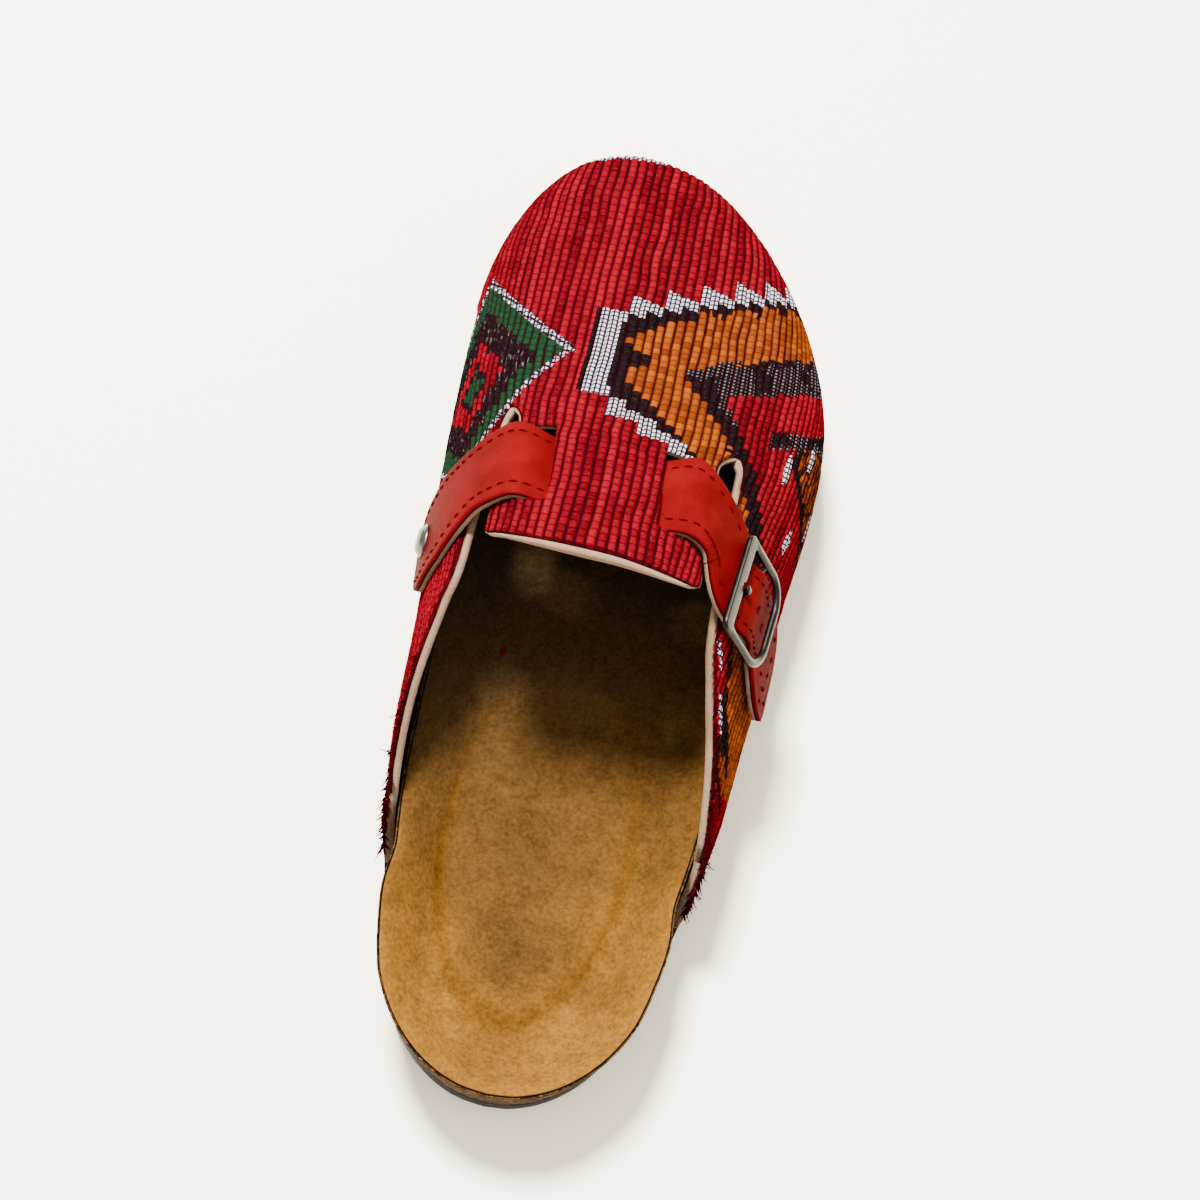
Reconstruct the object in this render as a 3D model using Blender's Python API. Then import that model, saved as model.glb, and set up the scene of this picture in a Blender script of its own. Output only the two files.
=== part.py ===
"""A slip-on clog for the right foot, at rest on its sole.

The toe points along +Y, the outer (lateral) side is +X and the ground is Z = 0.
Sizes are in millimetres, counted from the back of the heel along the shoe, and
they become metres about the middle of the shoe when a mesh is made.
"""
import math

import bmesh
import bpy
import numpy as np

MM = 0.001
LENGTH = 265.2
MIDDLE_X = 1.05           # middle of the widest points, from the heel's own centre line
MEDIAL, LATERAL = -1, 1
GAP = 0.3                 # air between touching pieces

# Outline of the outsole's top, where the upper's edge also stands.
HEEL_BACK, HEEL_CENTRE_X = 2.4, 0.4
HEEL_ARC_END, HEEL_ARC_LENGTH, HEEL_HALF_WIDTH = 26.0, 41.6, 34.2
TOE_TIP_Y, TOE_TIP_X = 263.6, -12.6
TOE_ARCS = {  # side: where the arc starts, half-width there, roundness exponent
    MEDIAL: (213.0, 48.3, 2.2),
    LATERAL: (187.0, 49.8, 1.9),
}
SIDE_POINTS = {  # side: rows of (distance from the heel, half-width)
    MEDIAL: ((44, 35.6), (58, 39.1), (72, 41.0), (92, 42.0), (112, 42.8), (142, 45.2),
             (170, 47.0), (192, 48.0), (213, 48.3)),
    LATERAL: ((44, 35.5), (58, 39.1), (72, 41.2), (92, 42.4), (112, 44.0), (142, 46.2),
              (168, 49.0), (187, 49.8)),
}
STATIONS = 34             # steps of an outline from heel to toe

# Heights along the sole. Columns: distance from the heel, underside, outsole's top.
SOLE_ROWS = (
    (0, 0.0, 12.3), (60, 0.0, 12.0), (80, 0.0, 11.0), (101, 0.0, 9.8), (119, 0.0, 9.0),
    (150, 0.0, 8.8), (178, 0.0, 10.6), (198, 2.3, 13.4), (221, 6.0, 16.0), (239, 9.4, 18.6),
    (257, 12.8, 21.0), (266, 14.8, 22.4),
)
BAND_DROP = 6.0           # height of the smooth band along the outsole's side
BAND_STEP = 1.3           # how far the lugs stand in from that band
LUG_DEPTH = 2.0
LUG_ROWS = 8              # lugs along the sole
LUG_COLUMNS = 4           # lugs across the sole

# Footbed. Columns: distance from the heel, floor, medial rim, lateral rim.
FOOTBED_ROWS = (
    (0, 26.5, 34.6, 34.6), (30, 24.0, 35.6, 35.6), (58, 24.6, 37.6, 37.0),
    (75, 25.6, 37.0, 34.4), (90, 25.8, 35.4, 32.6), (120, 24.2, 31.6, 30.4),
    (150, 21.8, 28.6, 28.2), (180, 21.2, 27.0, 26.8), (210, 23.4, 28.0, 28.0),
    (240, 26.6, 30.0, 30.0), (264, 29.0, 31.6, 31.6),
)
INSOLE_THICK = 1.5
# How far the cork's rim and foot stand out from the outsole's outline: bare at the
# heel, then tucked in beside the upper's wall. Columns: distance from the heel, out.
CORK_RIM_OUT = ((32, 2.2), (45, 0.8), (56.5, -2.75), (72, -3.1), (265, -3.1))
CORK_FOOT_OUT = ((40, 0.0), (55.5, -3.1), (265, -3.1))
INSOLE_EDGE_IN = 0.7
SPINE_FROM, SPINE_TO = 34.0, 222.0

# Upper: cross-sections that fan round the toe. Each lies in a plane through its crest
# point and its foot on the sole. flat_* and upright_* are the handles of its curve:
# how flat it leaves the crest, and how upright it comes down to the side wall.
UPPER_COLUMNS = (
    "crest_y", "crest_z", "crest_x", "foot_y", "flat_medial", "upright_medial",
    "flat_lateral", "upright_lateral", "edge_z_medial", "edge_z_lateral",
    "flap_z_medial", "flap_z_lateral",
)
UPPER_ROWS = (
    (91.6, 108.0, -3.0, 56.5, 0.70, 0.45, 0.52, 0.10, 39.5, 39.5, 87.0, 84.0),
    (98.0, 107.0, -3.0, 66.0, 0.70, 0.45, 0.54, 0.10, 52.0, 50.5, 87.0, 84.0),
    (106.0, 106.0, -3.0, 82.0, 0.70, 0.45, 0.56, 0.10, 66.0, 63.0, 87.0, 84.0),
    (112.0, 105.0, -3.0, 97.0, 0.70, 0.45, 0.56, 0.10, 74.0, 70.5, 87.0, 84.0),
    (117.0, 102.6, -3.0, 110.0, 0.70, 0.45, 0.56, 0.12, 77.0, 73.0, 87.0, 84.0),
    (133.0, 96.8, -3.6, 133.0, 0.68, 0.45, 0.57, 0.22, 76.2, 74.0, 83.2, 82.5),
    (149.0, 89.6, -4.6, 152.0, 0.64, 0.46, 0.57, 0.34, 73.6, 72.6, 78.4, 78.2),
    (158.0, 84.4, -5.4, 163.0, 0.62, 0.47, 0.57, 0.40, 70.0, 70.0, 75.6, 75.6),
    (176.0, 75.4, -7.2, 184.0, 0.60, 0.50, 0.59, 0.48, 63.5, 63.5, 66.0, 66.0),
    (194.0, 67.2, -9.0, 204.0, 0.58, 0.52, 0.60, 0.52, 57.5, 57.5, 59.6, 59.6),
    (212.0, 60.2, -10.8, 222.0, 0.58, 0.54, 0.60, 0.55, 52.5, 52.5, 54.2, 54.2),
    (231.0, 55.6, -12.0, 238.0, 0.60, 0.55, 0.60, 0.56, 49.0, 49.0, 50.6, 50.6),
    (246.0, 53.8, -12.6, 249.5, 0.60, 0.56, 0.60, 0.56, 47.5, 47.5, 49.0, 49.0),
    (255.5, 50.4, -12.6, 256.5, 0.58, 0.56, 0.58, 0.56, 44.5, 44.5, 46.0, 46.0),
    (260.8, 43.6, -12.6, 260.6, 0.56, 0.56, 0.56, 0.56, 39.4, 39.4, 40.6, 40.6),
    (264.0, 34.6, -12.6, 262.6, 0.56, 0.56, 0.56, 0.56, 32.2, 32.2, 33.0, 33.0),
    (265.2, 27.6, -12.6, 263.4, 0.56, 0.56, 0.56, 0.56, 26.6, 26.6, 26.9, 26.9),
    (263.9, 23.0, -12.6, 263.58, 0.56, 0.56, 0.56, 0.56, 22.9, 22.9, 22.95, 22.95),
)
CROWN_PART = 0.73         # share of a section above the side wall
SIDE_BULGE = 1.6
WALL = 2.5                # fabric and lining together
FLAP_FROM = 4.0           # section at the flap's free rear edge
FLAP_LIFT = {MEDIAL: 11.0, LATERAL: 9.5}  # how far its rear corners stand up
FLAP_LIFT_LENGTH = 12.0
SLOT_FROM_Y, SLOT_TO_Y = 130.2, 155.4      # strap slots, along the crest
SLOT_INNER = {MEDIAL: 13.5, LATERAL: 13.5}  # from the crest line
SLOT_WIDTH = 7.4
HOLE_ROUND_FROM_Y, HOLE_TO_Y = 155.4, 163.0  # the slits end in a rounded hole

# Strap. Columns: kind of point, its two sizes, and its height over the upper.
# "crest" gives distance from the heel and signed distance from the crest line,
# "side" gives distance from the heel and height on the named side.
STRAP_THICK = 2.2
STRAP_END_RADIUS = 13.4
STRAP_ROUTE = (
    ("side", MEDIAL, 125.4, 41.6, 0.45),
    ("side", MEDIAL, 127.6, 48.2, 0.45),
    ("side", MEDIAL, 130.8, 58.4, 0.45),
    ("side", MEDIAL, 135.6, 71.6, 0.80),
    ("crest", MEDIAL, 139.8, 27.0, 1.30),
    ("crest", MEDIAL, 141.7, 21.8, 1.25),
    ("crest", MEDIAL, 142.9, 13.2, -5.40),
    ("crest", MEDIAL, 143.0, 5.0, -5.50),
    ("crest", LATERAL, 143.0, 5.0, -5.50),
    ("crest", LATERAL, 142.9, 13.2, -5.40),
    ("crest", LATERAL, 141.8, 21.8, 1.25),
    ("crest", LATERAL, 138.6, 26.0, 1.6),
    ("crest", LATERAL, 132.6, 31.0, 1.4),
    ("side", LATERAL, 126.6, 76.2, 1.25),
    ("side", LATERAL, 126.0, 72.9, 1.65),
    ("side", LATERAL, 125.4, 67.4, 3.3),
    ("side", LATERAL, 124.2, 58.8, 1.2),
    ("side", LATERAL, 121.2, 50.8, 1.0),
    ("side", LATERAL, 114.0, 47.8, 1.3),
    ("side", LATERAL, 105.0, 45.4, 2.6),
)
STRAP_HOLE_AT, STRAP_HOLE = 14, 3.2       # the route's point with the hole, its length
STRAP_WIDTHS = ((0.0, 26.8), (0.16, 26.8), (0.34, 23.0), (0.58, 23.0), (0.70, 20.0), (1.0, 20.0))
STRAP_ROW_GAP, STRAP_TIP = 4.4, 12.0
STRAP_SHARES = (-1.0, -0.5, -0.16, 0.16, 0.5, 1.0)   # columns across; the middle one has the hole
STRAP_SQUARE_TO = (22.5, 31.0)    # within these widths its rows turn square to the slots
RIVET_RADIUS, RIVET_HEIGHT = 4.2, 2.0
RIVET_AT = (129.4, 53.8)

# Buckle on the lateral side.
RAIL_NEAR_AT, RAIL_FAR_AT = (126.7, 76.3), (124.1, 57.5)
FRAME_LENGTH, FRAME_THICK = 27.0, 1.5
FRAME_CORNERS = (2.6, 5.2)                 # round of the corners by the near and far rail
FRAME_WIRE, FRAME_RAIL = 2.2, 4.0
FRAME_STAND = 4.4         # height of its rails over the upper
FRAME_DIP, FRAME_DIP_REACH = 2.55, 7.0     # its side wires dip to the hinge bar
BAR_THICK, BAR_HIGH = 1.6, 1.3
PRONG_WIDTH, PRONG_THICK = 1.7, 1.1
# The prong's path. Columns: distance before the hinge bar, height over the upper.
PRONG_PATH = ((1.35, 2.1), (4.6, 1.3), (6.0, 1.2), (6.6, 1.8), (6.8, 5.0), (7.6, 6.8), (12.4, 7.0))
TAB_HALF_SECTIONS, TAB_THICK = 0.40, 0.7
TAB_FROM, TAB_TO = (125.0, 66.9), (124.5, 60.8)


# ---------------------------------------------------------------- curves and outlines

def smooth(x, columns, column):
    """Reads one column of a table at x along a smooth curve through its rows.

    Between two rows the curve is a cubic whose slopes are the mean slopes of the
    steps on both sides of each row, cut back so that it never overshoots.
    """
    table = np.asarray(columns, float)
    xs, ys = table[:, 0], table[:, column]
    step = np.diff(xs)
    slope = np.diff(ys) / step
    tangent = np.concatenate(([slope[0]], (slope[1:] + slope[:-1]) / 2, [slope[-1]]))
    inner = np.sign(slope[1:]) * np.sign(slope[:-1]) <= 0
    tangent[1:-1][inner] = 0.0
    limit = 3 * np.minimum(np.abs(slope[1:]), np.abs(slope[:-1]))
    tangent[1:-1] = np.clip(tangent[1:-1], -limit, limit)
    x = np.clip(np.asarray(x, float), xs[0], xs[-1])
    i = np.clip(np.searchsorted(xs, x, side="right") - 1, 0, len(xs) - 2)
    t = (x - xs[i]) / step[i]
    return ((2 * t**3 - 3 * t**2 + 1) * ys[i] + (t**3 - 2 * t**2 + t) * step[i] * tangent[i]
            + (3 * t**2 - 2 * t**3) * ys[i + 1] + (t**3 - t**2) * step[i] * tangent[i + 1])


def ramp(x, start, end):
    """0 before start, 1 after end, and an even S between them."""
    t = np.clip((np.asarray(x, float) - start) / (end - start), 0, 1)
    return t * t * (3 - 2 * t)


def outline_x(y, side):
    """The outsole's half-width: heel ellipse, side curve, then the toe's superellipse."""
    y = np.clip(np.asarray(y, float), HEEL_BACK, TOE_TIP_Y)
    back = (HEEL_BACK + HEEL_ARC_LENGTH - y) / HEEL_ARC_LENGTH
    heel = HEEL_HALF_WIDTH * np.sqrt(np.clip(1 - np.clip(back, 0, 1) ** 2, 0, 1))
    heel_end = HEEL_HALF_WIDTH * math.sqrt(
        1 - ((HEEL_BACK + HEEL_ARC_LENGTH - HEEL_ARC_END) / HEEL_ARC_LENGTH) ** 2)
    rows = ((HEEL_ARC_END, heel_end),) + SIDE_POINTS[side]
    width = HEEL_CENTRE_X * side + smooth(y, rows, 1)
    start, half, power = TOE_ARCS[side]
    ahead = np.clip((y - start) / (TOE_TIP_Y - start), 0, 1)
    reach = half - TOE_TIP_X * side
    toe = TOE_TIP_X * side + reach * (1 - ahead ** power) ** (1 / power)
    width = np.where(y < HEEL_ARC_END, HEEL_CENTRE_X * side + heel, width)
    return side * np.where(y > start, toe, width)


def sole_bottom(y):
    return smooth(y, SOLE_ROWS, 1)


def sole_top(y):
    return smooth(y, SOLE_ROWS, 2)


def station_points():
    """Points of the outline as a closed loop, heel to toe on the medial side and back."""
    share = (1 - np.cos(np.pi * np.arange(STATIONS + 1) / STATIONS)) / 2
    y = HEEL_BACK + (TOE_TIP_Y - HEEL_BACK) * share
    medial = np.column_stack((outline_x(y, MEDIAL), y))
    lateral = np.column_stack((outline_x(y, LATERAL), y))
    medial[0] = lateral[0] = (HEEL_CENTRE_X, HEEL_BACK)
    medial[-1] = lateral[-1] = (TOE_TIP_X, TOE_TIP_Y)
    loop = np.vstack((medial, lateral[-2:0:-1]))
    ahead = np.roll(loop, -1, axis=0) - np.roll(loop, 1, axis=0)
    ahead /= np.linalg.norm(ahead, axis=1)[:, None]
    outward = np.column_stack((-ahead[:, 1], ahead[:, 0]))
    return loop, outward


LOOP, OUTWARD = station_points()


def spine_points(y):
    """The line that the rings of the footbed shrink to."""
    along = np.clip(y, SPINE_FROM, SPINE_TO)
    middle = (outline_x(along, MEDIAL) + outline_x(along, LATERAL)) / 2
    return np.column_stack((middle, along))


def ring(offset, share=1.0):
    """The outline moved outwards by offset, then shrunk to a share of its distance
    from the spine."""
    edge = LOOP + OUTWARD * np.asarray(offset, float).reshape(-1, 1)
    spine = spine_points(LOOP[:, 1])
    return spine + (edge - spine) * share


def level(points, height):
    """Gives flat points a height: a number for each, or a function of their own y."""
    z = height(points[:, 1]) if callable(height) else height
    return np.column_stack((points, np.broadcast_to(z, len(points))))


# ---------------------------------------------------------------- meshes

def place(points):
    """Millimetres from the heel to metres about the middle of the shoe."""
    points = np.asarray(points, float)
    return (points - (MIDDLE_X, LENGTH / 2, 0.0)) * MM


def make_material(name, colour, roughness, metallic=0.0):
    material = bpy.data.materials.new(name)
    material.use_nodes = True
    shader = material.node_tree.nodes["Principled BSDF"]
    shader.inputs["Base Color"].default_value = (*colour, 1.0)
    shader.inputs["Roughness"].default_value = roughness
    shader.inputs["Metallic"].default_value = metallic
    return material


def make_piece(name, points, faces, material, sharp_angle=35.0):
    """A welded, outward-facing object from points in millimetres."""
    mesh = bpy.data.meshes.new(name)
    mesh.from_pydata(place(points).tolist(), [], [tuple(map(int, face)) for face in faces])
    work = bmesh.new()
    work.from_mesh(mesh)
    bmesh.ops.remove_doubles(work, verts=work.verts, dist=1e-6)
    bmesh.ops.dissolve_degenerate(work, edges=work.edges, dist=1e-7)
    bmesh.ops.triangulate(work, faces=work.faces)
    bmesh.ops.recalc_face_normals(work, faces=work.faces)
    work.to_mesh(mesh)
    work.free()
    mesh.shade_smooth()
    mesh.set_sharp_from_angle(angle=math.radians(sharp_angle))
    piece = bpy.data.objects.new(name, mesh)
    piece.data.materials.append(material)
    bpy.context.collection.objects.link(piece)
    return piece


def stack_of_loops(loops):
    """Faces that join each loop of equal length to the next one."""
    count = len(loops[0])
    points = np.vstack(loops)
    faces = []
    for row in range(len(loops) - 1):
        for i in range(count):
            j = (i + 1) % count
            faces.append((row * count + i, row * count + j,
                          (row + 1) * count + j, (row + 1) * count + i))
    return points, faces


def shell(outer, inner, present):
    """A closed wall between two grids, with openings where a cell isn't present."""
    rows, columns = outer.shape[:2]
    points = np.vstack((outer.reshape(-1, 3), inner.reshape(-1, 3)))
    half = rows * columns

    def corner(row, column):
        return row * columns + column

    def there(row, column):
        return (0 <= row < rows - 1 and 0 <= column < columns - 1
                and bool(present[row, column]))

    faces = []
    for row in range(rows - 1):
        for column in range(columns - 1):
            if not there(row, column):
                continue
            a, b = corner(row, column), corner(row, column + 1)
            c, d = corner(row + 1, column + 1), corner(row + 1, column)
            faces.append((a, b, c, d))
            faces.append((d + half, c + half, b + half, a + half))
            for p, q, side in ((a, b, (row - 1, column)), (b, c, (row, column + 1)),
                               (c, d, (row + 1, column)), (d, a, (row, column - 1))):
                if not there(*side):
                    faces.append((q, p, p + half, q + half))
    used = sorted({index for face in faces for index in face})
    renumber = {old: new for new, old in enumerate(used)}
    return points[used], [tuple(renumber[index] for index in face) for face in faces]


# ---------------------------------------------------------------- outsole

def lug_relief(row_share, column_share):
    """1 on the face of a lug and 0 in the grooves; every second column is staggered."""
    column = np.floor(column_share * LUG_COLUMNS)
    across = column_share * LUG_COLUMNS - column
    along = row_share * LUG_ROWS + 0.5 * (column % 2)
    along = along - np.floor(along)
    edge = 0.16
    return ((across > edge) & (across < 1 - edge) & (along > edge) & (along < 1 - edge)) * 1.0


def make_outsole(material):
    """A flat-sided band over an inset tread of staggered lugs."""
    y = LOOP[:, 1]
    bottom, top = sole_bottom(y), sole_top(y)
    band_foot = np.maximum(top - BAND_DROP, bottom + LUG_DEPTH + 1.2)
    loops = [
        level(ring(-0.6, 0.0), sole_top), level(ring(-0.6, 0.6), sole_top), level(ring(-0.6), top),
        level(ring(0), top - 0.6), level(ring(0), band_foot), level(ring(-BAND_STEP), band_foot - 0.4),
        level(ring(-BAND_STEP - 0.5), bottom + LUG_DEPTH),
    ]
    points, faces = stack_of_loops(loops)
    last = len(points) - len(LOOP)

    # The tread is a grid of rows across the sole. It closes on the last loop, whose
    # points at the same station are the two ends of each row.
    edge = loops[-1]
    stations = STATIONS + 1
    medial = edge[:stations]
    lateral = np.vstack((edge[:1], edge[:stations - 1:-1], edge[stations - 1:stations]))
    shares = []
    for lug in range(LUG_COLUMNS):
        shares += [(lug + 0.13) / LUG_COLUMNS, (lug + 0.2) / LUG_COLUMNS,
                   (lug + 0.8) / LUG_COLUMNS, (lug + 0.87) / LUG_COLUMNS]
    grid_y = lug_rows()
    return tread(points, faces, last, medial, lateral, np.array(shares), grid_y, material)


def lug_rows():
    """Distances from the heel at which the tread's height changes."""
    rows = []
    for half_row in range(2 * LUG_ROWS + 1):
        for part in (-0.10, -0.065, 0.065, 0.10):
            share = (half_row + 2 * part) / (2 * LUG_ROWS)
            if 0.01 < share < 0.99:
                rows.append(share)
    return np.array(rows)


def tread(points, faces, last, medial, lateral, shares, row_shares, material):
    """Closes the outsole underneath with lugs that stand down to the ground."""
    row_y = np.interp(row_shares, (0, 1), (medial[0, 1], medial[-1, 1]))
    left = np.column_stack([np.interp(row_y, medial[:, 1], medial[:, axis]) for axis in (0, 1, 2)])
    right = np.column_stack([np.interp(row_y, lateral[:, 1], lateral[:, axis]) for axis in (0, 1, 2)])
    grid = left[:, None] + (right - left)[:, None] * shares[None, :, None]
    relief = lug_relief(row_shares[:, None], shares[None, :])
    ground = sole_bottom(row_y)[:, None]
    roof = np.minimum(ground + LUG_DEPTH, grid[:, :, 2])
    grid[:, :, 2] = np.where(relief > 0, ground, roof)
    rows, columns = grid.shape[:2]
    start = len(points)
    points = np.vstack((points, grid.reshape(-1, 3)))
    for row in range(rows - 1):
        for column in range(columns - 1):
            a = start + row * columns + column
            faces.append((a, a + columns, a + columns + 1, a + 1))
    rim = ([start + column for column in range(columns)]
           + [start + row * columns + columns - 1 for row in range(1, rows)]
           + [start + (rows - 1) * columns + column for column in range(columns - 2, -1, -1)]
           + [start + row * columns for row in range(rows - 2, 0, -1)])
    outer = list(range(last, last + len(LOOP)))
    faces += zip_loops(points, outer, rim)
    return make_piece("outsole", points, faces, material, 30.0)


def zip_loops(points, outer, inner):
    """Triangles between two closed loops of different lengths, matched by direction
    from the middle of the sole."""
    centre = points[outer][:, :2].mean(axis=0)
    stretch = np.array([1.0, 0.36])

    def turn(index):
        dx, dy = (points[index][:2] - centre) * stretch
        return math.atan2(dx, -dy) % math.tau

    outer = sorted(outer, key=turn)
    inner = sorted(inner, key=turn)
    outer_turns = [turn(i) for i in outer]
    inner_turns = [turn(i) for i in inner]
    faces = []
    i = j = 0
    while i < len(outer) or j < len(inner):
        a, b = outer[i % len(outer)], inner[j % len(inner)]
        next_outer = outer_turns[i] if i < len(outer) else math.inf
        next_inner = inner_turns[j] if j < len(inner) else math.inf
        following_outer = outer_turns[i + 1] if i + 1 < len(outer) else math.tau + outer_turns[0]
        following_inner = inner_turns[j + 1] if j + 1 < len(inner) else math.tau + inner_turns[0]
        if (following_outer <= following_inner and next_outer < math.inf) or next_inner == math.inf:
            faces.append((a, outer[(i + 1) % len(outer)], b))
            i += 1
        else:
            faces.append((a, inner[(j + 1) % len(inner)], b))
            j += 1
    return faces


# ---------------------------------------------------------------- footbed

def footbed_z(share):
    """Height of the footbed: a dished floor that rises to the rim."""
    y = LOOP[:, 1]
    side = np.where(np.arange(len(LOOP)) <= STATIONS, 2, 3)
    rim = np.where(side == 2, smooth(y, FOOTBED_ROWS, 2), smooth(y, FOOTBED_ROWS, 3))
    floor = smooth(np.clip(y, SPINE_FROM, SPINE_TO), FOOTBED_ROWS, 1)
    floor = np.where(y > SPINE_TO, smooth(y, FOOTBED_ROWS, 1) * share + floor * (1 - share), floor)
    rise = ramp(share, 0.52, 1.04) ** 1.25
    return floor + (rim - floor) * rise / (ramp(1.0, 0.52, 1.04) ** 1.25)


def cork_foot(y):
    return sole_top(y) + GAP


FOOTBED_SHARES = (0.0, 0.35, 0.56, 0.70, 0.82, 0.92, 0.985)


def make_cork(material):
    y = LOOP[:, 1]
    under = INSOLE_THICK + GAP
    foot = cork_foot(y)
    rim = footbed_z(1.0) - under
    rim_out, foot_out = smooth(y, CORK_RIM_OUT, 1), smooth(y, CORK_FOOT_OUT, 1)
    loops = [level(ring(rim_out, share), footbed_z(share) - under) for share in FOOTBED_SHARES]
    loops += [
        level(ring(rim_out - 0.2), rim - 0.3), level(ring(rim_out), rim - 1.5),
        level(ring((rim_out + foot_out) / 2), (rim + foot) / 2), level(ring(foot_out), foot),
        level(ring(foot_out, 0.6), cork_foot), level(ring(foot_out, 0.0), cork_foot),
    ]
    points, faces = stack_of_loops(loops)
    return make_piece("cork_footbed", points, faces, material)


def make_insole(material):
    y = LOOP[:, 1]
    edge = smooth(y, CORK_RIM_OUT, 1) - INSOLE_EDGE_IN
    upper_side = [level(ring(edge, share), footbed_z(share)) for share in FOOTBED_SHARES]
    rim = footbed_z(1.0)
    side = [level(ring(edge), rim - 0.3), level(ring(edge), rim - INSOLE_THICK)]
    lower_side = [level(ring(edge, share), footbed_z(share) - INSOLE_THICK)
                  for share in reversed(FOOTBED_SHARES)]
    points, faces = stack_of_loops(upper_side + side + lower_side)
    return make_piece("insole", points, faces, material)


# ---------------------------------------------------------------- upper

def upper_column(name, s):
    """One column of the upper's table, read along the sections by their number."""
    rows = np.column_stack((np.arange(len(UPPER_ROWS)), np.asarray(UPPER_ROWS, float)))
    return smooth(s, rows, 1 + UPPER_COLUMNS.index(name))


def section_at(crest_y):
    """The number of the section whose crest lies at this distance from the heel."""
    s = np.linspace(0, 15, 601)
    return float(np.interp(crest_y, upper_column("crest_y", s), s))


def upper_point(s, g):
    """The upper's outer surface. s numbers the section. g is 0 on the crest, -1 or 1 at
    the top of the medial or lateral side wall, and -2 or 2 at its foot. The crown is a
    cubic curve with two handles, and the wall under it bulges a little."""
    s, g = np.broadcast_arrays(np.asarray(s, float), np.asarray(g, float))
    side = np.where(g < 0, -1.0, 1.0)
    t = np.clip(np.abs(g), 0, 1)
    down = np.clip(np.abs(g) - 1, 0, 1)
    flat = np.where(g < 0, upper_column("flat_medial", s), upper_column("flat_lateral", s))
    upright = np.where(g < 0, upper_column("upright_medial", s), upper_column("upright_lateral", s))
    out = 3 * (1 - t) ** 2 * t * flat + 3 * (1 - t) * t**2 + t**3
    drop = 3 * (1 - t) * t**2 * (1 - upright) + t**3
    drop = CROWN_PART * drop + (1 - CROWN_PART) * down
    foot_y = upper_column("foot_y", s)
    foot_x = np.where(g < 0, outline_x(foot_y, MEDIAL), outline_x(foot_y, LATERAL))
    foot_z = sole_top(foot_y) + GAP
    crest_x, crest_y = upper_column("crest_x", s), upper_column("crest_y", s)
    crest_z = upper_column("crest_z", s)
    reach = np.abs(foot_x - crest_x)
    bulge = SIDE_BULGE * np.clip(reach / 20, 0, 1) * (1 - down**2)
    x = crest_x + side * (reach + bulge) * out
    y = crest_y + (foot_y - crest_y) * drop
    z = crest_z + (foot_z - crest_z) * drop
    return np.stack((x, y, z), axis=-1)


def flap_lift(s, g, side_edge):
    """How far the flap's rear corners curl up from the run of the upper."""
    behind = np.clip(1 - (upper_column("crest_y", s) - UPPER_ROWS[4][0]) / FLAP_LIFT_LENGTH, 0, 1)
    height = np.where(g < 0, FLAP_LIFT[MEDIAL], FLAP_LIFT[LATERAL])
    return height * behind**1.5 * np.clip(np.abs(g) / side_edge, 0, 1.2) ** 1.8


def upper_normal(s, g):
    """Outward direction of the surface, from its steps along s and g."""
    step = 0.02
    along = upper_point(s + step, g) - upper_point(s - step, g)
    across = upper_point(s, g + step) - upper_point(s, g - step)
    normal = np.cross(across, along)
    return normal / np.maximum(np.linalg.norm(normal, axis=-1, keepdims=True), 1e-9)


def height_to_g(s, side, z):
    """The g at which a section's outer surface has height z."""
    g = np.linspace(0.02, 2.0, 240)
    heights = upper_point(np.full_like(g, s), side * g)[:, 2]
    return float(np.interp(-z, -heights, g))


def width_to_g(s, side, width):
    """The g at which a section lies this far from its crest line."""
    g = np.linspace(0.0, 1.0, 160)
    points = upper_point(np.full_like(g, s), side * g)
    return float(np.interp(width, np.abs(points[:, 0] - points[0, 0]), g))


def upper_rows():
    """Section numbers of the grid, with rows on the flap's edge, slots and holes."""
    slot_from, slot_to = section_at(SLOT_FROM_Y), section_at(SLOT_TO_Y)
    hole_to = section_at(HOLE_TO_Y)
    quarter = np.arange(0.0, FLAP_FROM, 0.5)
    flap = np.linspace(FLAP_FROM, slot_from, 4)
    slot = np.linspace(slot_from, slot_to, 6)[1:]
    hole = slot_to + (hole_to - slot_to) * np.array((0.45, 0.8, 1.0))
    vamp = np.concatenate((np.linspace(hole_to, 9.0, 5)[1:], np.arange(9.5, 16.6, 0.5), [17.0]))
    rows = np.concatenate((quarter, flap, slot, hole, vamp))
    marks = {"flap": len(quarter), "slot_from": len(quarter) + 3, "slot_to": len(quarter) + 8,
             "hole_to": len(quarter) + 11}
    return rows, marks


QUARTER_SHARES = (1.0, 0.82, 0.64, 0.47, 0.31, 0.15, 0.0)     # from the foot to the edge


def half_columns(s, side):
    """The grid's g values of one section, from the foot to the crest."""
    name = "medial" if side == MEDIAL else "lateral"
    edge = height_to_g(s, side, float(upper_column("edge_z_" + name, s)))
    flap = height_to_g(s, side, float(upper_column("flap_z_" + name, s)))
    flap = min(flap, edge * 0.96)
    ahead = (float(upper_column("crest_y", s)) - HOLE_ROUND_FROM_Y) / (HOLE_TO_Y - HOLE_ROUND_FROM_Y)
    if 0 < ahead < 1.6:
        opening = max(math.sqrt(max(1 - ahead**2, 0)), 0.2)
        middle = (edge + flap) / 2
        edge, flap = middle + (edge - middle) * opening, middle + (flap - middle) * opening
    slot_in = min(width_to_g(s, side, SLOT_INNER[side]), flap * 0.62)
    slot_out = min(width_to_g(s, side, SLOT_INNER[side] + SLOT_WIDTH), flap * 0.86)
    quarter = [edge + (2.0 - edge) * share for share in QUARTER_SHARES]
    crown = [flap, (flap + slot_out) / 2, slot_out, slot_in, slot_in / 2]
    return [side * g for g in quarter + crown]


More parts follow.
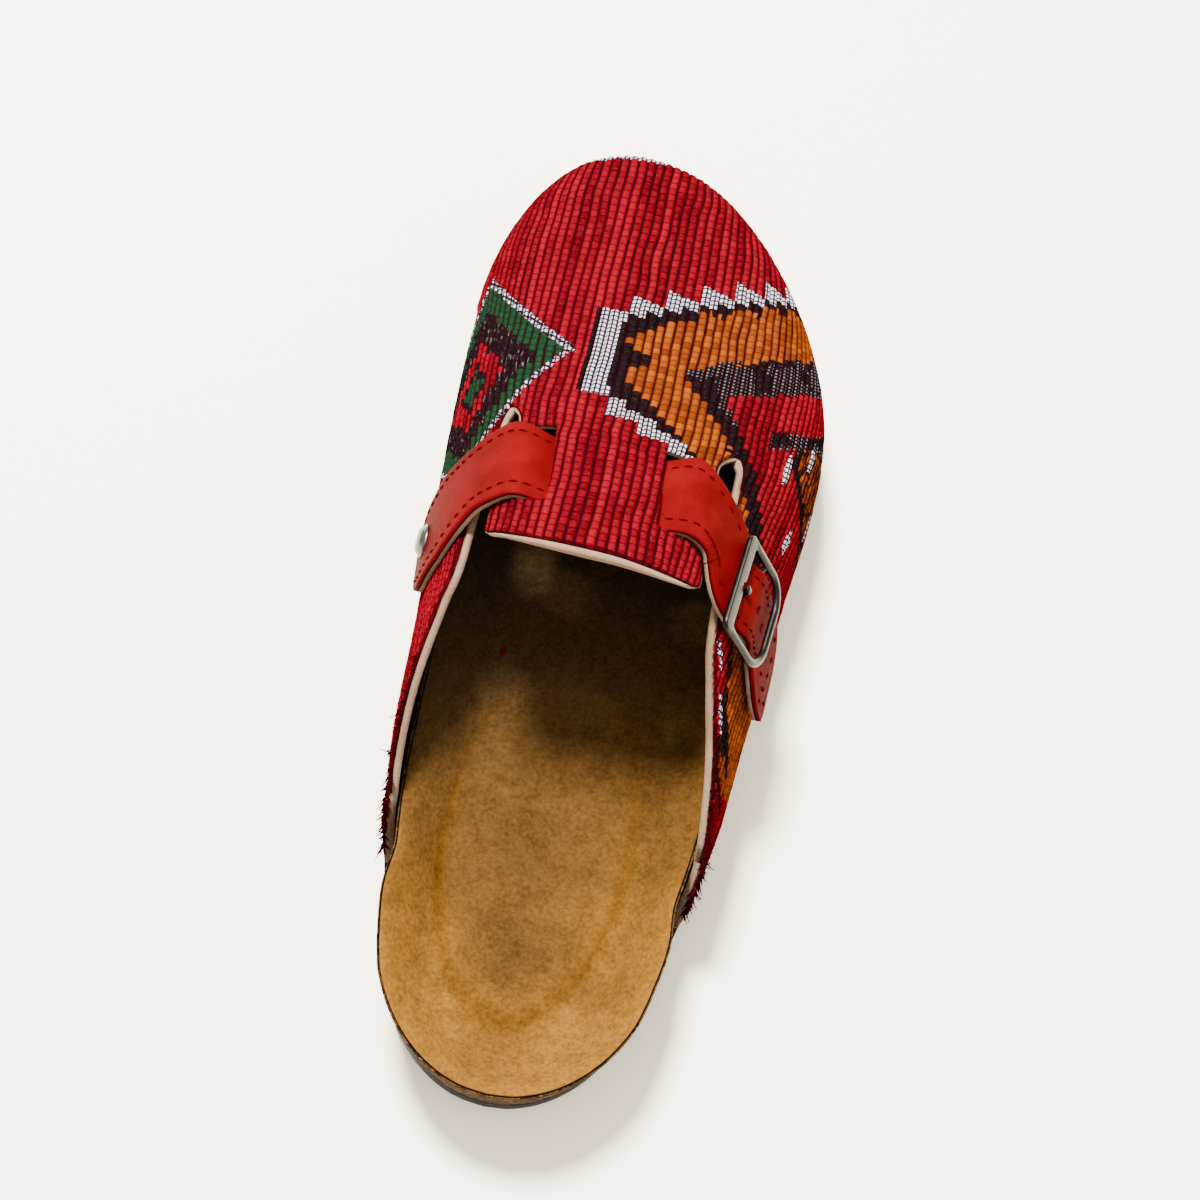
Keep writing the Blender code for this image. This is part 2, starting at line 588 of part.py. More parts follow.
def make_upper(material):
    """Fabric wall of one piece. Its quarters reach back to the collar; its centre flap
    is free behind the two relief holes and has a slot on each side for the strap."""
    rows, marks = upper_rows()
    grid = []
    for s in rows:
        medial = half_columns(s, MEDIAL)
        lateral = half_columns(s, LATERAL)
        grid.append(medial + [0.0] + lateral[::-1])
    g = np.array(grid)
    s = np.broadcast_to(rows[:, None], g.shape)
    quarter = len(QUARTER_SHARES)
    columns = g.shape[1]
    flap_columns = slice(quarter, columns - quarter)
    edges = np.where(g < 0, np.abs(g[:, quarter])[:, None], np.abs(g[:, columns - quarter - 1])[:, None])
    lift = np.zeros_like(g)
    lift[:, flap_columns] = flap_lift(s, g, edges)[:, flap_columns]
    normal = upper_normal(s, g)
    outer = upper_point(s, g)
    outer[..., 2] += lift
    inner = outer - WALL * normal

    present = np.ones((len(rows) - 1, columns - 1), bool)
    present[:marks["flap"], quarter - 1:columns - quarter] = False
    for gap in (quarter - 1, columns - quarter - 1):
        present[:marks["hole_to"], gap] = False
    slot_rows = slice(marks["slot_from"], marks["slot_to"])
    for slot in (quarter + 2, columns - quarter - 4):
        present[slot_rows, slot] = False
    points, faces = shell(outer, inner, present)
    return make_piece("upper", points, faces, material)


# ---------------------------------------------------------------- strap

def surface(s, g, stand):
    """A point at a height over the upper, with the upper's outward direction there."""
    normal = upper_normal(s, g)
    return upper_point(s, g) + normal * np.asarray(stand, float)[..., None], normal


def locate(kind, side, y, size):
    """Section number and g of a point given by its place on the shoe."""
    if kind == "crest":
        s = section_at(y)
        return s, side * width_to_g(s, side, size)
    s = section_at(y)
    for _ in range(12):
        g = side * height_to_g(s, side, size)
        s += (y - float(upper_point(s, g)[1])) / 18.0
    return s, g


def strap_route():
    """Points down the middle of the strap: their length along it, then s, g and stand.
    Rows lie close together at the round end, and one cell spans the buckle's hole."""
    knots = np.array([(*locate(kind, side, y, size), stand)
                      for kind, side, y, size, stand in STRAP_ROUTE])
    middle, _ = surface(knots[:, 0], knots[:, 1], knots[:, 2])
    steps = np.linalg.norm(np.diff(middle, axis=0), axis=1)
    along = np.concatenate(([0], np.cumsum(steps)))
    stops = list(along)
    hole = stops.pop(STRAP_HOLE_AT)
    stops[STRAP_HOLE_AT:STRAP_HOLE_AT] = [hole - STRAP_HOLE / 2, hole + STRAP_HOLE / 2]
    rows = [0.0, 0.5, 1.6, 3.6]
    for low, high in zip([rows[-1]] + stops[1:-1], stops[1:]):
        count = max(math.ceil((high - low) / STRAP_ROW_GAP), 1)
        rows += list(np.linspace(low, high, count + 1)[1:])
    rows = np.array(rows)
    columns = [smooth(rows, np.column_stack((along, knots[:, i])), 1) for i in range(3)]
    return rows, np.column_stack(columns), int(np.searchsorted(rows, hole)) - 1


def strap_widths(along):
    """Width of the strap: round at the riveted end, pointed at the free end."""
    total = along[-1]
    half = np.interp(along / total, *np.array(STRAP_WIDTHS).T) / 2
    near = np.clip(along / STRAP_END_RADIUS, 0, 1)
    half = half * np.sqrt(np.clip(1 - (1 - near) ** 2, 0.012, 1))
    left = np.clip((total - along) / STRAP_TIP, 0, 1)
    return half * (0.18 + 0.82 * left**0.85)


def square_row(s, g, half):
    """Points of a row that lies square to the slots: all at one width from the crest."""
    width = abs(float(upper_point(s, g)[0] - upper_point(s, 0.0)[0]))
    y = float(upper_column("crest_y", s))
    sections = [section_at(y + share * half) for share in STRAP_SHARES]
    return np.array([(at, np.sign(g) * width_to_g(at, np.sign(g), width)) for at in sections])


def level_row(s, g, reach):
    """Points of a row at right angles to the strap."""
    step = 0.02
    basis = np.column_stack((
        (upper_point(s + step, g) - upper_point(s - step, g)) / (2 * step),
        (upper_point(s, g + step) - upper_point(s, g - step)) / (2 * step),
    ))
    moved = np.linalg.lstsq(basis, reach, rcond=None)[0]
    return np.array([(s, g) + moved * share for share in STRAP_SHARES])


def make_strap(material):
    """One strip of leather laid on the upper, dipping under the flap between the slots."""
    along, route, hole = strap_route()
    half = strap_widths(along)
    middle, normal = surface(route[:, 0], route[:, 1], route[:, 2])
    ahead = np.gradient(middle, axis=0)
    across = np.cross(normal, ahead)
    across /= np.linalg.norm(across, axis=1)[:, None]
    outer, inner = [], []
    for k, (s, g, stand) in enumerate(route):
        width = abs(float(upper_point(s, g)[0] - upper_point(s, 0.0)[0]))
        square = 1 - ramp(width, *STRAP_SQUARE_TO) if abs(g) < 1 else 0.0
        row = level_row(s, g, across[k] * half[k])
        if square > 0:
            row += (square_row(s, g, half[k]) - row) * square
        low, _ = surface(row[:, 0], row[:, 1], np.full(len(row), stand))
        inner.append(low)
        outer.append(low + normal[k] * STRAP_THICK)
    outer, inner = np.array(outer), np.array(inner)
    present = np.ones((len(along) - 1, len(STRAP_SHARES) - 1), bool)
    present[hole, 2] = False
    points, faces = shell(outer, inner, present)
    return make_piece("strap", points, faces, material)


# ---------------------------------------------------------------- rivet and buckle

def local_frame(side, y, z, stand):
    """A point over the side of the upper and three directions there: along the shoe,
    down the side, and outwards."""
    s, g = locate("side", side, y, z)
    origin, outward = surface(np.array(s), np.array(g), np.array(stand))
    along = np.array((0.0, 1.0, 0.0))
    along -= outward * along.dot(outward)
    along /= np.linalg.norm(along)
    return origin, along, np.cross(along, outward), outward


def make_rivet(material):
    """A low dome pressed on the strap's round end."""
    origin, along, down, outward = local_frame(MEDIAL, *RIVET_AT, 0.45 + STRAP_THICK + GAP)
    profile = ((0.0, 0.0), (1.0, 0.0), (1.0, 0.18), (0.92, 0.5), (0.7, 0.82), (0.38, 0.97), (0.0, 1.0))
    turns = np.linspace(0, math.tau, 24, endpoint=False)
    loops = []
    for radius, height in profile:
        circle = (np.cos(turns)[:, None] * along + np.sin(turns)[:, None] * down) * radius * RIVET_RADIUS
        loops.append(origin + circle + outward * height * RIVET_HEIGHT)
    points, faces = stack_of_loops(loops)
    return make_piece("rivet", points, faces, material)


def buckle_axes():
    """Middle of the buckle's plane, and its directions from heel to toe, down and out."""
    near, *_ = local_frame(LATERAL, *RAIL_NEAR_AT, FRAME_STAND)
    far, _, _, outward = local_frame(LATERAL, *RAIL_FAR_AT, FRAME_STAND)
    down = far - near
    drop = np.linalg.norm(down)
    down /= drop
    middle_s, middle_g = locate("side", LATERAL, (RAIL_NEAR_AT[0] + RAIL_FAR_AT[0]) / 2,
                                (RAIL_NEAR_AT[1] + RAIL_FAR_AT[1]) / 2)
    outward = upper_normal(np.array(middle_s), np.array(middle_g))
    outward = outward - down * outward.dot(down)
    outward /= np.linalg.norm(outward)
    toeward = np.cross(outward, down)
    if toeward[1] < 0:
        toeward = -toeward
    return (near + far) / 2, toeward, down, outward, drop


def rounded_rectangle(length, height, corners, count=5):
    """Outline of a rounded rectangle about 0, 0, with extra points down its two ends."""
    near, far = corners
    ends = np.linspace(height / 2 - far, near - height / 2, 7)[1:-1]
    points = []
    for quarter in range(4):
        corner = far if quarter in (0, 1) else near
        cx = (length / 2 - corner) * (1 if quarter in (0, 3) else -1)
        cy = (height / 2 - corner) * (1 if quarter in (0, 1) else -1)
        for i in range(count):
            turn = math.pi / 2 * (quarter + i / (count - 1))
            points.append((cx + corner * math.cos(turn), cy + corner * math.sin(turn)))
        if quarter == 1:
            points += [(-length / 2, y) for y in ends]
        if quarter == 3:
            points += [(length / 2, y) for y in ends[::-1]]
    return np.array(points)


def on_buckle(axes, flat, stand):
    """Points in the buckle's plane: along the shoe, down the side, and out from it."""
    origin, toeward, down, outward, _ = axes
    flat = np.asarray(flat, float)
    return (origin + flat[:, :1] * toeward + flat[:, 1:2] * down
            + np.broadcast_to(stand, len(flat))[:, None] * outward)


def block(axes, low, high):
    """Corner points and faces of a block in the buckle's three directions."""
    corners = [(a, b, c) for a in (low[0], high[0]) for b in (low[1], high[1])
               for c in (low[2], high[2])]
    flat = [(a, b) for a, b, _ in corners]
    points = on_buckle(axes, flat, np.array([c for _, _, c in corners]))
    faces = ((0, 1, 3, 2), (4, 6, 7, 5), (0, 4, 5, 1), (2, 3, 7, 6), (0, 2, 6, 4), (1, 5, 7, 3))
    return points, faces


def make_buckle(material):
    """A frame with one broad rail. Its side wires dip, and the hinge bar joins them."""
    axes = buckle_axes()
    height = axes[4] + FRAME_RAIL / 2 + FRAME_WIRE / 2
    outside = rounded_rectangle(FRAME_LENGTH, height, FRAME_CORNERS)
    inside = rounded_rectangle(FRAME_LENGTH - 2 * FRAME_WIRE, height - FRAME_RAIL - FRAME_WIRE,
                               [max(round_ - 1.8, 1.0) for round_ in FRAME_CORNERS])
    inside[:, 1] += (FRAME_RAIL - FRAME_WIRE) / 2
    loops = []
    for flat, stand in ((outside, 0.0), (outside, FRAME_THICK), (inside, FRAME_THICK),
                        (inside, 0.0), (outside, 0.0)):
        flat = flat + np.array((0.0, (FRAME_WIRE - FRAME_RAIL) / 4))
        near_bar = np.clip(np.abs(flat[:, 1]) / FRAME_DIP_REACH, 0, 1)
        dip = FRAME_DIP * (1 + np.cos(np.pi * near_bar)) / 2
        loops.append(on_buckle(axes, flat, stand - dip))
    points, faces = stack_of_loops(loops)
    frame = make_piece("buckle_frame", points, faces, material)
    half = FRAME_LENGTH / 2 - FRAME_WIRE / 2
    middle = FRAME_THICK / 2 - FRAME_DIP
    low = (-half, -BAR_THICK / 2, middle - BAR_HIGH / 2)
    high = (half, BAR_THICK / 2, middle + BAR_HIGH / 2)
    bar = make_piece("hinge_bar_shape", *block(axes, low, high), material)
    bar.hide_render = True
    bar.display_type = "WIRE"
    join = frame.modifiers.new("hinge_bar", "BOOLEAN")
    join.operation = "UNION"
    join.object = bar
    return frame


def make_prong(material):
    """A bent pin: from the hinge bar under the strap, up through its hole, then over the
    broad rail."""
    axes = buckle_axes()
    path = np.array(PRONG_PATH) * (-1, 1)
    ahead = np.gradient(path, axis=0)
    ahead /= np.linalg.norm(ahead, axis=1)[:, None]
    across = np.column_stack((-ahead[:, 1], ahead[:, 0])) * PRONG_THICK / 2
    half = PRONG_WIDTH / 2
    loops = []
    for middle, side in zip(path, across):
        low, high = middle - side, middle + side
        ring_flat = ((-half, low[0]), (half, low[0]), (half, high[0]), (-half, high[0]))
        stand = np.array((low[1], low[1], high[1], high[1])) - FRAME_STAND
        loops.append(on_buckle(axes, ring_flat, stand))
    points, faces = stack_of_loops(loops)
    last = len(points) - 4
    faces += [(0, 1, 2, 3), (last + 3, last + 2, last + 1, last)]
    return make_piece("buckle_prong", points, faces, material)


def make_tab(material):
    """The short leather tab that holds the hinge bar, stitched flat on the quarter."""
    s_from, g_from = locate("side", LATERAL, *TAB_FROM)
    s_to, g_to = locate("side", LATERAL, *TAB_TO)
    down = np.linspace(0, 1, 6)[:, None]
    across = np.linspace(-1, 1, 5)[None, :]
    s = s_from + (s_to - s_from) * down + TAB_HALF_SECTIONS * across * np.sqrt(1 - (0.9 * down) ** 4)
    g = g_from + (g_to - g_from) * down + 0 * across
    low, _ = surface(s, g, np.full(s.shape, GAP))
    high, _ = surface(s, g, np.full(s.shape, GAP + TAB_THICK))
    points, faces = shell(high, low, np.ones((5, 4), bool))
    return make_piece("buckle_tab", points, faces, material)


def main():
    for item in list(bpy.data.objects):
        bpy.data.objects.remove(item, do_unlink=True)
    rubber = make_material("black_rubber", (0.016, 0.017, 0.02), 0.55)
    cork = make_material("cork", (0.17, 0.10, 0.055), 0.85)
    suede = make_material("tan_suede", (0.40, 0.24, 0.09), 0.95)
    kilim = make_material("red_kilim", (0.42, 0.02, 0.03), 0.9)
    leather = make_material("red_leather", (0.40, 0.03, 0.025), 0.45)
    nickel = make_material("nickel", (0.42, 0.40, 0.38), 0.3, 1.0)
    make_outsole(rubber)
    make_cork(cork)
    make_insole(suede)
    make_upper(kilim)
    make_strap(leather)
    make_rivet(nickel)
    make_buckle(nickel)
    make_prong(nickel)
    make_tab(leather)


main()
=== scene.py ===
"""Looks of a kilim clog for the right foot: cloth, leather, cork and rubber.

Every shape is worked out in millimetres from the back of the heel (y along the shoe,
x outwards, z up) and put into the model's frame by place(). The sections go from the
sole up to the buckle, as the shoe is put together.
"""
import math

import bmesh
import bpy
import numpy as np
from mathutils import Matrix, Vector


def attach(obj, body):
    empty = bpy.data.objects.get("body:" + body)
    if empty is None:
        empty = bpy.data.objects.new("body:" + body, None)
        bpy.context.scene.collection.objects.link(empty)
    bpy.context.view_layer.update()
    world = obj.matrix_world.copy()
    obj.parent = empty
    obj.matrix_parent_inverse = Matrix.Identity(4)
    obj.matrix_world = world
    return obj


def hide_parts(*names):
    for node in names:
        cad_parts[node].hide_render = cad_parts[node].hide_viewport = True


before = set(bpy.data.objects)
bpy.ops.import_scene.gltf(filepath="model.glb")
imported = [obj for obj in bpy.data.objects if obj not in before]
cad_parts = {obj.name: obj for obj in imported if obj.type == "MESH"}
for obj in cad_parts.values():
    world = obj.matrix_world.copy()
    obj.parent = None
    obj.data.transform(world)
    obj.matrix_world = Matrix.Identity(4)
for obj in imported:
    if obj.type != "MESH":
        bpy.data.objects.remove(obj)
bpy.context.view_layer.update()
scene = bpy.context.scene


# ---------------------------------------------------------------- outsole
# Moulded black rubber: a plain matte band round the top, and below it a tread of
# overlapping scales, like bark, that runs round the side and underneath. It is glued
# under the cork.

MM = 0.001
LENGTH = 265.2
MIDDLE_X = 1.05           # middle of the widest points, from the heel's own centre line
MEDIAL, LATERAL = -1, 1

# Outline of the outsole's top, where the upper's edge also stands.
HEEL_BACK, HEEL_CENTRE_X = 2.4, 0.4
HEEL_ARC_END, HEEL_ARC_LENGTH, HEEL_HALF_WIDTH = 26.0, 41.6, 34.2
TOE_TIP_Y, TOE_TIP_X = 263.6, -12.6
TOE_ARCS = {  # side: where the arc starts, half-width there, roundness exponent
    MEDIAL: (213.0, 48.3, 2.2),
    LATERAL: (187.0, 49.8, 1.9),
}
SIDE_POINTS = {  # side: rows of (distance from the heel, half-width)
    MEDIAL: ((44, 35.6), (58, 39.1), (72, 41.0), (92, 42.0), (112, 42.8), (142, 45.2),
             (170, 47.0), (192, 48.0), (213, 48.3)),
    LATERAL: ((44, 35.5), (58, 39.1), (72, 41.2), (92, 42.4), (112, 44.0), (142, 46.2),
              (168, 49.0), (187, 49.8)),
}

# Heights along the sole. Columns: distance from the heel, underside, outsole's top.
SOLE_ROWS = (
    (0, 0.0, 12.3), (60, 0.0, 12.0), (80, 0.0, 11.0), (101, 0.0, 9.8), (119, 0.0, 9.0),
    (150, 0.0, 8.8), (178, 0.0, 10.6), (198, 2.3, 13.4), (221, 6.0, 16.0), (239, 9.4, 18.6),
    (257, 12.8, 21.0), (266, 14.8, 22.4),
)
BAND_DROP = 6.0           # height of the smooth band along the outsole's side
LUG_DEPTH = 2.0           # depth of the tread's grooves underneath
SPINE_FROM, SPINE_TO = 34.0, 222.0    # ends of the line that loops shrink towards


def smooth(x, columns, column=1):
    """Reads one column of a table at x along a smooth curve that never overshoots."""
    table = np.asarray(columns, float)
    xs, ys = table[:, 0], table[:, column]
    step = np.diff(xs)
    slope = np.diff(ys) / step
    tangent = np.concatenate(([slope[0]], (slope[1:] + slope[:-1]) / 2, [slope[-1]]))
    tangent[1:-1][np.sign(slope[1:]) * np.sign(slope[:-1]) <= 0] = 0.0
    limit = 3 * np.minimum(np.abs(slope[1:]), np.abs(slope[:-1]))
    tangent[1:-1] = np.clip(tangent[1:-1], -limit, limit)
    x = np.clip(np.asarray(x, float), xs[0], xs[-1])
    i = np.clip(np.searchsorted(xs, x, side="right") - 1, 0, len(xs) - 2)
    t = (x - xs[i]) / step[i]
    return ((2 * t**3 - 3 * t**2 + 1) * ys[i] + (t**3 - 2 * t**2 + t) * step[i] * tangent[i]
            + (3 * t**2 - 2 * t**3) * ys[i + 1] + (t**3 - t**2) * step[i] * tangent[i + 1])


def ramp(x, start, end):
    """A smooth step from 0 at start to 1 at end: 3 t squared less 2 t cubed."""
    t = np.clip((np.asarray(x, float) - start) / (end - start), 0, 1)
    return t * t * (3 - 2 * t)


def outline_x(y, side):
    """The outsole's edge at a distance from the heel, on the side -1 or 1."""
    y = np.clip(np.asarray(y, float), HEEL_BACK, TOE_TIP_Y)
    back = np.clip((HEEL_BACK + HEEL_ARC_LENGTH - y) / HEEL_ARC_LENGTH, 0, 1)
    heel = HEEL_HALF_WIDTH * np.sqrt(1 - back**2)
    heel_end = HEEL_HALF_WIDTH * math.sqrt(
        1 - ((HEEL_BACK + HEEL_ARC_LENGTH - HEEL_ARC_END) / HEEL_ARC_LENGTH) ** 2)
    width = HEEL_CENTRE_X * side + smooth(y, ((HEEL_ARC_END, heel_end),) + SIDE_POINTS[side])
    start, half, power = TOE_ARCS[side]
    ahead = np.clip((y - start) / (TOE_TIP_Y - start), 0, 1)
    toe = TOE_TIP_X * side + (half - TOE_TIP_X * side) * (1 - ahead**power) ** (1 / power)
    width = np.where(y < HEEL_ARC_END, HEEL_CENTRE_X * side + heel, width)
    return side * np.where(y > start, toe, width)


def sole_bottom(y):
    """Height of the sole's underside at a distance from the heel."""
    return smooth(y, SOLE_ROWS, 1)


def sole_top(y):
    """Height of the outsole's top at a distance from the heel."""
    return smooth(y, SOLE_ROWS, 2)


def unit(vectors):
    """Each vector divided by its length."""
    return vectors / np.linalg.norm(vectors, axis=-1, keepdims=True)


def length_to(points):
    """Length along a line of points to each of them: the sum of the steps before it."""
    steps = np.linalg.norm(np.diff(points, axis=0), axis=1)
    return np.concatenate(([0], np.cumsum(steps)))


def outline_loop(count):
    """Points round the sole's edge, medial side first, with their outward directions."""
    share = (1 - np.cos(np.pi * np.arange(count + 1) / count)) / 2
    share = 0.6 * share + 0.4 * np.arange(count + 1) / count
    y = HEEL_BACK + (TOE_TIP_Y - HEEL_BACK) * share
    medial = np.column_stack((outline_x(y, MEDIAL), y))
    lateral = np.column_stack((outline_x(y, LATERAL), y))
    medial[0] = lateral[0] = (HEEL_CENTRE_X, HEEL_BACK)
    medial[-1] = lateral[-1] = (TOE_TIP_X, TOE_TIP_Y)
    loop = np.vstack((medial, lateral[-2:0:-1]))
    # Even steps round the loop, so that heel and toe come out round.
    closed = np.vstack((loop, loop[:1]))
    along = length_to(closed)
    even = np.linspace(0, along[-1], 2 * count + 1)[:-1]
    loop = np.column_stack([np.interp(even, along, closed[:, k]) for k in (0, 1)])
    ahead = unit(np.roll(loop, -1, axis=0) - np.roll(loop, 1, axis=0))
    return loop, np.column_stack((-ahead[:, 1], ahead[:, 0]))


LOOP, OUTWARD = outline_loop(210)


def spine_points(y):
    """The line midway between the sole's edges, held still at heel and toe."""
    along = np.clip(y, SPINE_FROM, SPINE_TO)
    return np.column_stack(((outline_x(along, MEDIAL) + outline_x(along, LATERAL)) / 2, along))


def ring(offset, share=1.0):
    """The sole's edge moved outwards by offset, then shrunk towards the spine."""
    edge = LOOP + OUTWARD * np.asarray(offset, float).reshape(-1, 1)
    spine = spine_points(LOOP[:, 1])
    return spine + (edge - spine) * share


def level(points, height):
    """Flat points lifted to a height, which may depend on the distance."""
    z = height(points[:, 1]) if callable(height) else height
    return np.column_stack((points, np.broadcast_to(z, len(points))))


def place(points):
    """Millimetres from the heel to the model's metres."""
    return (np.asarray(points, float) - (MIDDLE_X, LENGTH / 2, 0.0)) * MM


def loop_faces(rows, count, start=0):
    """Quads between closed loops of points."""
    k = np.arange(count)
    after = (k + 1) % count
    quads = [np.column_stack((start + r * count + k, start + r * count + after,
                              start + (r + 1) * count + after, start + (r + 1) * count + k))
             for r in range(rows - 1)]
    return np.concatenate(quads)


def add_piece(name, points, faces, material, slot, replaces=(), values=None):
    """A smooth-shaded mesh in the model's frame that rides on the shoe. values holds
    vectors to keep with the points for the material to read."""
    mesh = bpy.data.meshes.new(name)
    clean = []
    for face in faces.tolist() if isinstance(faces, np.ndarray) else faces:
        corners = [v for i, v in enumerate(face) if v != face[i - 1]]
        if len(set(corners)) == len(corners) > 2:
            clean.append(corners)
    mesh.from_pydata(place(points).tolist(), [], clean)
    for key, vectors in (values or {}).items():
        layer = mesh.attributes.new(key, "FLOAT_VECTOR", "POINT")
        layer.data.foreach_set("vector", np.asarray(vectors, np.float32).ravel())
    mesh.polygons.foreach_set("use_smooth", [True] * len(mesh.polygons))
    mesh.materials.append(material)
    mesh.update()
    piece = bpy.data.objects.new(name, mesh)
    scene.collection.objects.link(piece)
    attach(piece, "root")
    if replaces:
        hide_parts(*replaces)
    return piece


def weld(piece, distance=2e-5):
    """Joins points that lie on each other and turns all faces outwards."""
    work = bmesh.new()
    work.from_mesh(piece.data)
    bmesh.ops.remove_doubles(work, verts=work.verts, dist=distance)
    bmesh.ops.recalc_face_normals(work, faces=work.faces)
    work.to_mesh(piece.data)
    work.free()


def operation(kind):
    """A method for Value that adds one Math node of this kind."""
    return lambda self, *others: self.math(kind, *others)


class Value:
    """A number in a material's node tree. Arithmetic on it adds Math nodes."""

    def __init__(self, tree, socket):
        self.tree, self.socket = tree, socket

    def math(self, kind, *others):
        """The result of a Math node fed by this value and others."""
        node = self.tree.nodes.new("ShaderNodeMath")
        node.operation = kind
        for slot, item in zip(node.inputs, (self,) + others):
            if isinstance(item, Value):
                self.tree.links.new(item.socket, slot)
            else:
                slot.default_value = item
        return Value(self.tree, node.outputs[0])

    __add__ = __radd__ = operation("ADD")
    __sub__ = operation("SUBTRACT")
    __mul__ = __rmul__ = operation("MULTIPLY")
    __truediv__ = operation("DIVIDE")
    floor, fract, abs = operation("FLOOR"), operation("FRACT"), operation("ABSOLUTE")
    power = operation("POWER")
    below, above = operation("LESS_THAN"), operation("GREATER_THAN")
    least, most = operation("MINIMUM"), operation("MAXIMUM")
    either = most

    def within(self, low, high):
        """1 between two limits and 0 outside them."""
        return self.above(low) * self.below(high)

    def ramp(self, low, high):
        """A smooth step from 0 at low to 1 at high."""
        node = self.tree.nodes.new("ShaderNodeMapRange")
        node.interpolation_type = "SMOOTHSTEP"
        self.tree.links.new(self.socket, node.inputs["Value"])
        node.inputs["From Min"].default_value = low
        node.inputs["From Max"].default_value = high
        return Value(self.tree, node.outputs["Result"])


class Look:
    """A material under construction: a Principled shader and helpers to feed it."""

    def __init__(self, name, colour, roughness, **settings):
        self.material = bpy.data.materials.new(name)
        self.material.use_nodes = True
        self.material.diffuse_color = (*colour, 1.0)
        self.tree = self.material.node_tree
        self.shader = self.tree.nodes["Principled BSDF"]
        self.shader.inputs["Base Color"].default_value = (*colour, 1.0)
        self.shader.inputs["Roughness"].default_value = roughness
        for key, value in settings.items():
            self.shader.inputs[key.replace("_", " ")].default_value = value

    def node(self, kind, **settings):
        """A new shader node of a kind, with its properties set."""
        node = self.tree.nodes.new("ShaderNode" + kind)
        for key, value in settings.items():
            setattr(node, key, value)
        return node

    def link(self, source, target):
        """Joins an output, or a Value, to an input."""
        self.tree.links.new(source.socket if isinstance(source, Value) else source, target)

    def place_mm(self):
        """Object coordinates in millimetres, as a vector socket."""
        scale = self.node("VectorMath", operation="SCALE")
        self.link(self.node("TexCoord").outputs["Object"], scale.inputs[0])
        scale.inputs["Scale"].default_value = 1000.0
        return scale.outputs[0]

    def stored(self, name):
        """Vectors kept with the mesh under a name."""
        return self.node("Attribute", attribute_name=name).outputs["Vector"]

    def split(self, vector):
        """The three parts of a vector."""
        node = self.node("SeparateXYZ")
        self.link(vector, node.inputs[0])
        return [Value(self.tree, node.outputs[k]) for k in range(3)]

    def vector(self, *values):
        """A vector from three numbers or Values."""
        node = self.node("CombineXYZ")
        for k, value in enumerate(values):
            if isinstance(value, Value):
                self.link(value, node.inputs[k])
            else:
                node.inputs[k].default_value = value
        return node.outputs[0]

    def stretch(self, vector, scales):
        """A vector with each part scaled by its own factor."""
        node = self.node("VectorMath", operation="MULTIPLY")
        self.link(vector, node.inputs[0])
        node.inputs[1].default_value = scales
        return node.outputs[0]

    def noise(self, vector, scale, detail=3.0, roughness=0.5):
        """Soft noise from 0 to 1 with features about 1 / scale wide."""
        node = self.node("TexNoise")
        self.link(vector, node.inputs["Vector"])
        node.inputs["Scale"].default_value = scale
        node.inputs["Detail"].default_value = detail
        node.inputs["Roughness"].default_value = roughness
        return Value(self.tree, node.outputs["Fac"])

    def cells(self, vector, scale, output="Distance"):
        """Distance to the nearest scattered point, or a random colour for each."""
        node = self.node("TexVoronoi")
        self.link(vector, node.inputs["Vector"])
        node.inputs["Scale"].default_value = scale
        return Value(self.tree, node.outputs[output])

    def random(self, vector):
        """A different number from 0 to 1 for every vector."""
        node = self.node("TexWhiteNoise", noise_dimensions="3D")
        self.link(vector, node.inputs["Vector"])
        return Value(self.tree, node.outputs["Value"])

    def mix(self, share, low, high):
        """A colour between two colours or colour sockets."""
        node = self.node("Mix", data_type="RGBA")
        self.link(share, node.inputs["Factor"])
        for slot, item in ((node.inputs[6], low), (node.inputs[7], high)):
            if isinstance(item, tuple):
                slot.default_value = (*item, 1.0)
            else:
                self.link(item, slot)
        return node.outputs[2]

    def green_part(self, colour):
        """The green share of a colour."""
        node = self.node("SeparateColor")
        self.link(colour, node.inputs[0])
        return Value(self.tree, node.outputs[1])

    def shade(self, colour, factor):
        """A colour made darker or lighter by a factor."""
        node = self.node("VectorMath", operation="SCALE")
        self.link(colour, node.inputs[0])
        self.link(factor, node.inputs["Scale"])
        return node.outputs[0]

    def colour(self, socket):
        """Feeds the shader's base colour."""
        self.link(socket, self.shader.inputs["Base Color"])

    def rough(self, value):
        """Feeds the shader's roughness."""
        self.link(value, self.shader.inputs["Roughness"])

    def bump(self, height, depth_mm, strength=1.0):
        """Relief from a height of 0 to 1 that stands for depth_mm."""
        node = self.node("Bump")
        node.inputs["Strength"].default_value = strength
        node.inputs["Distance"].default_value = depth_mm * MM
        self.link(height, node.inputs["Height"])
        self.link(node.outputs["Normal"], self.shader.inputs["Normal"])


def stack(loops):
    """Points and faces of closed loops in order, each joined to the next."""
    return np.concatenate(loops), loop_faces(len(loops), len(loops[0]))


SCALE_LONG, SCALE_WIDE = 11.0, 7.0
SCALE_RELIEF = 1.0        # how far the scales stand out from the side


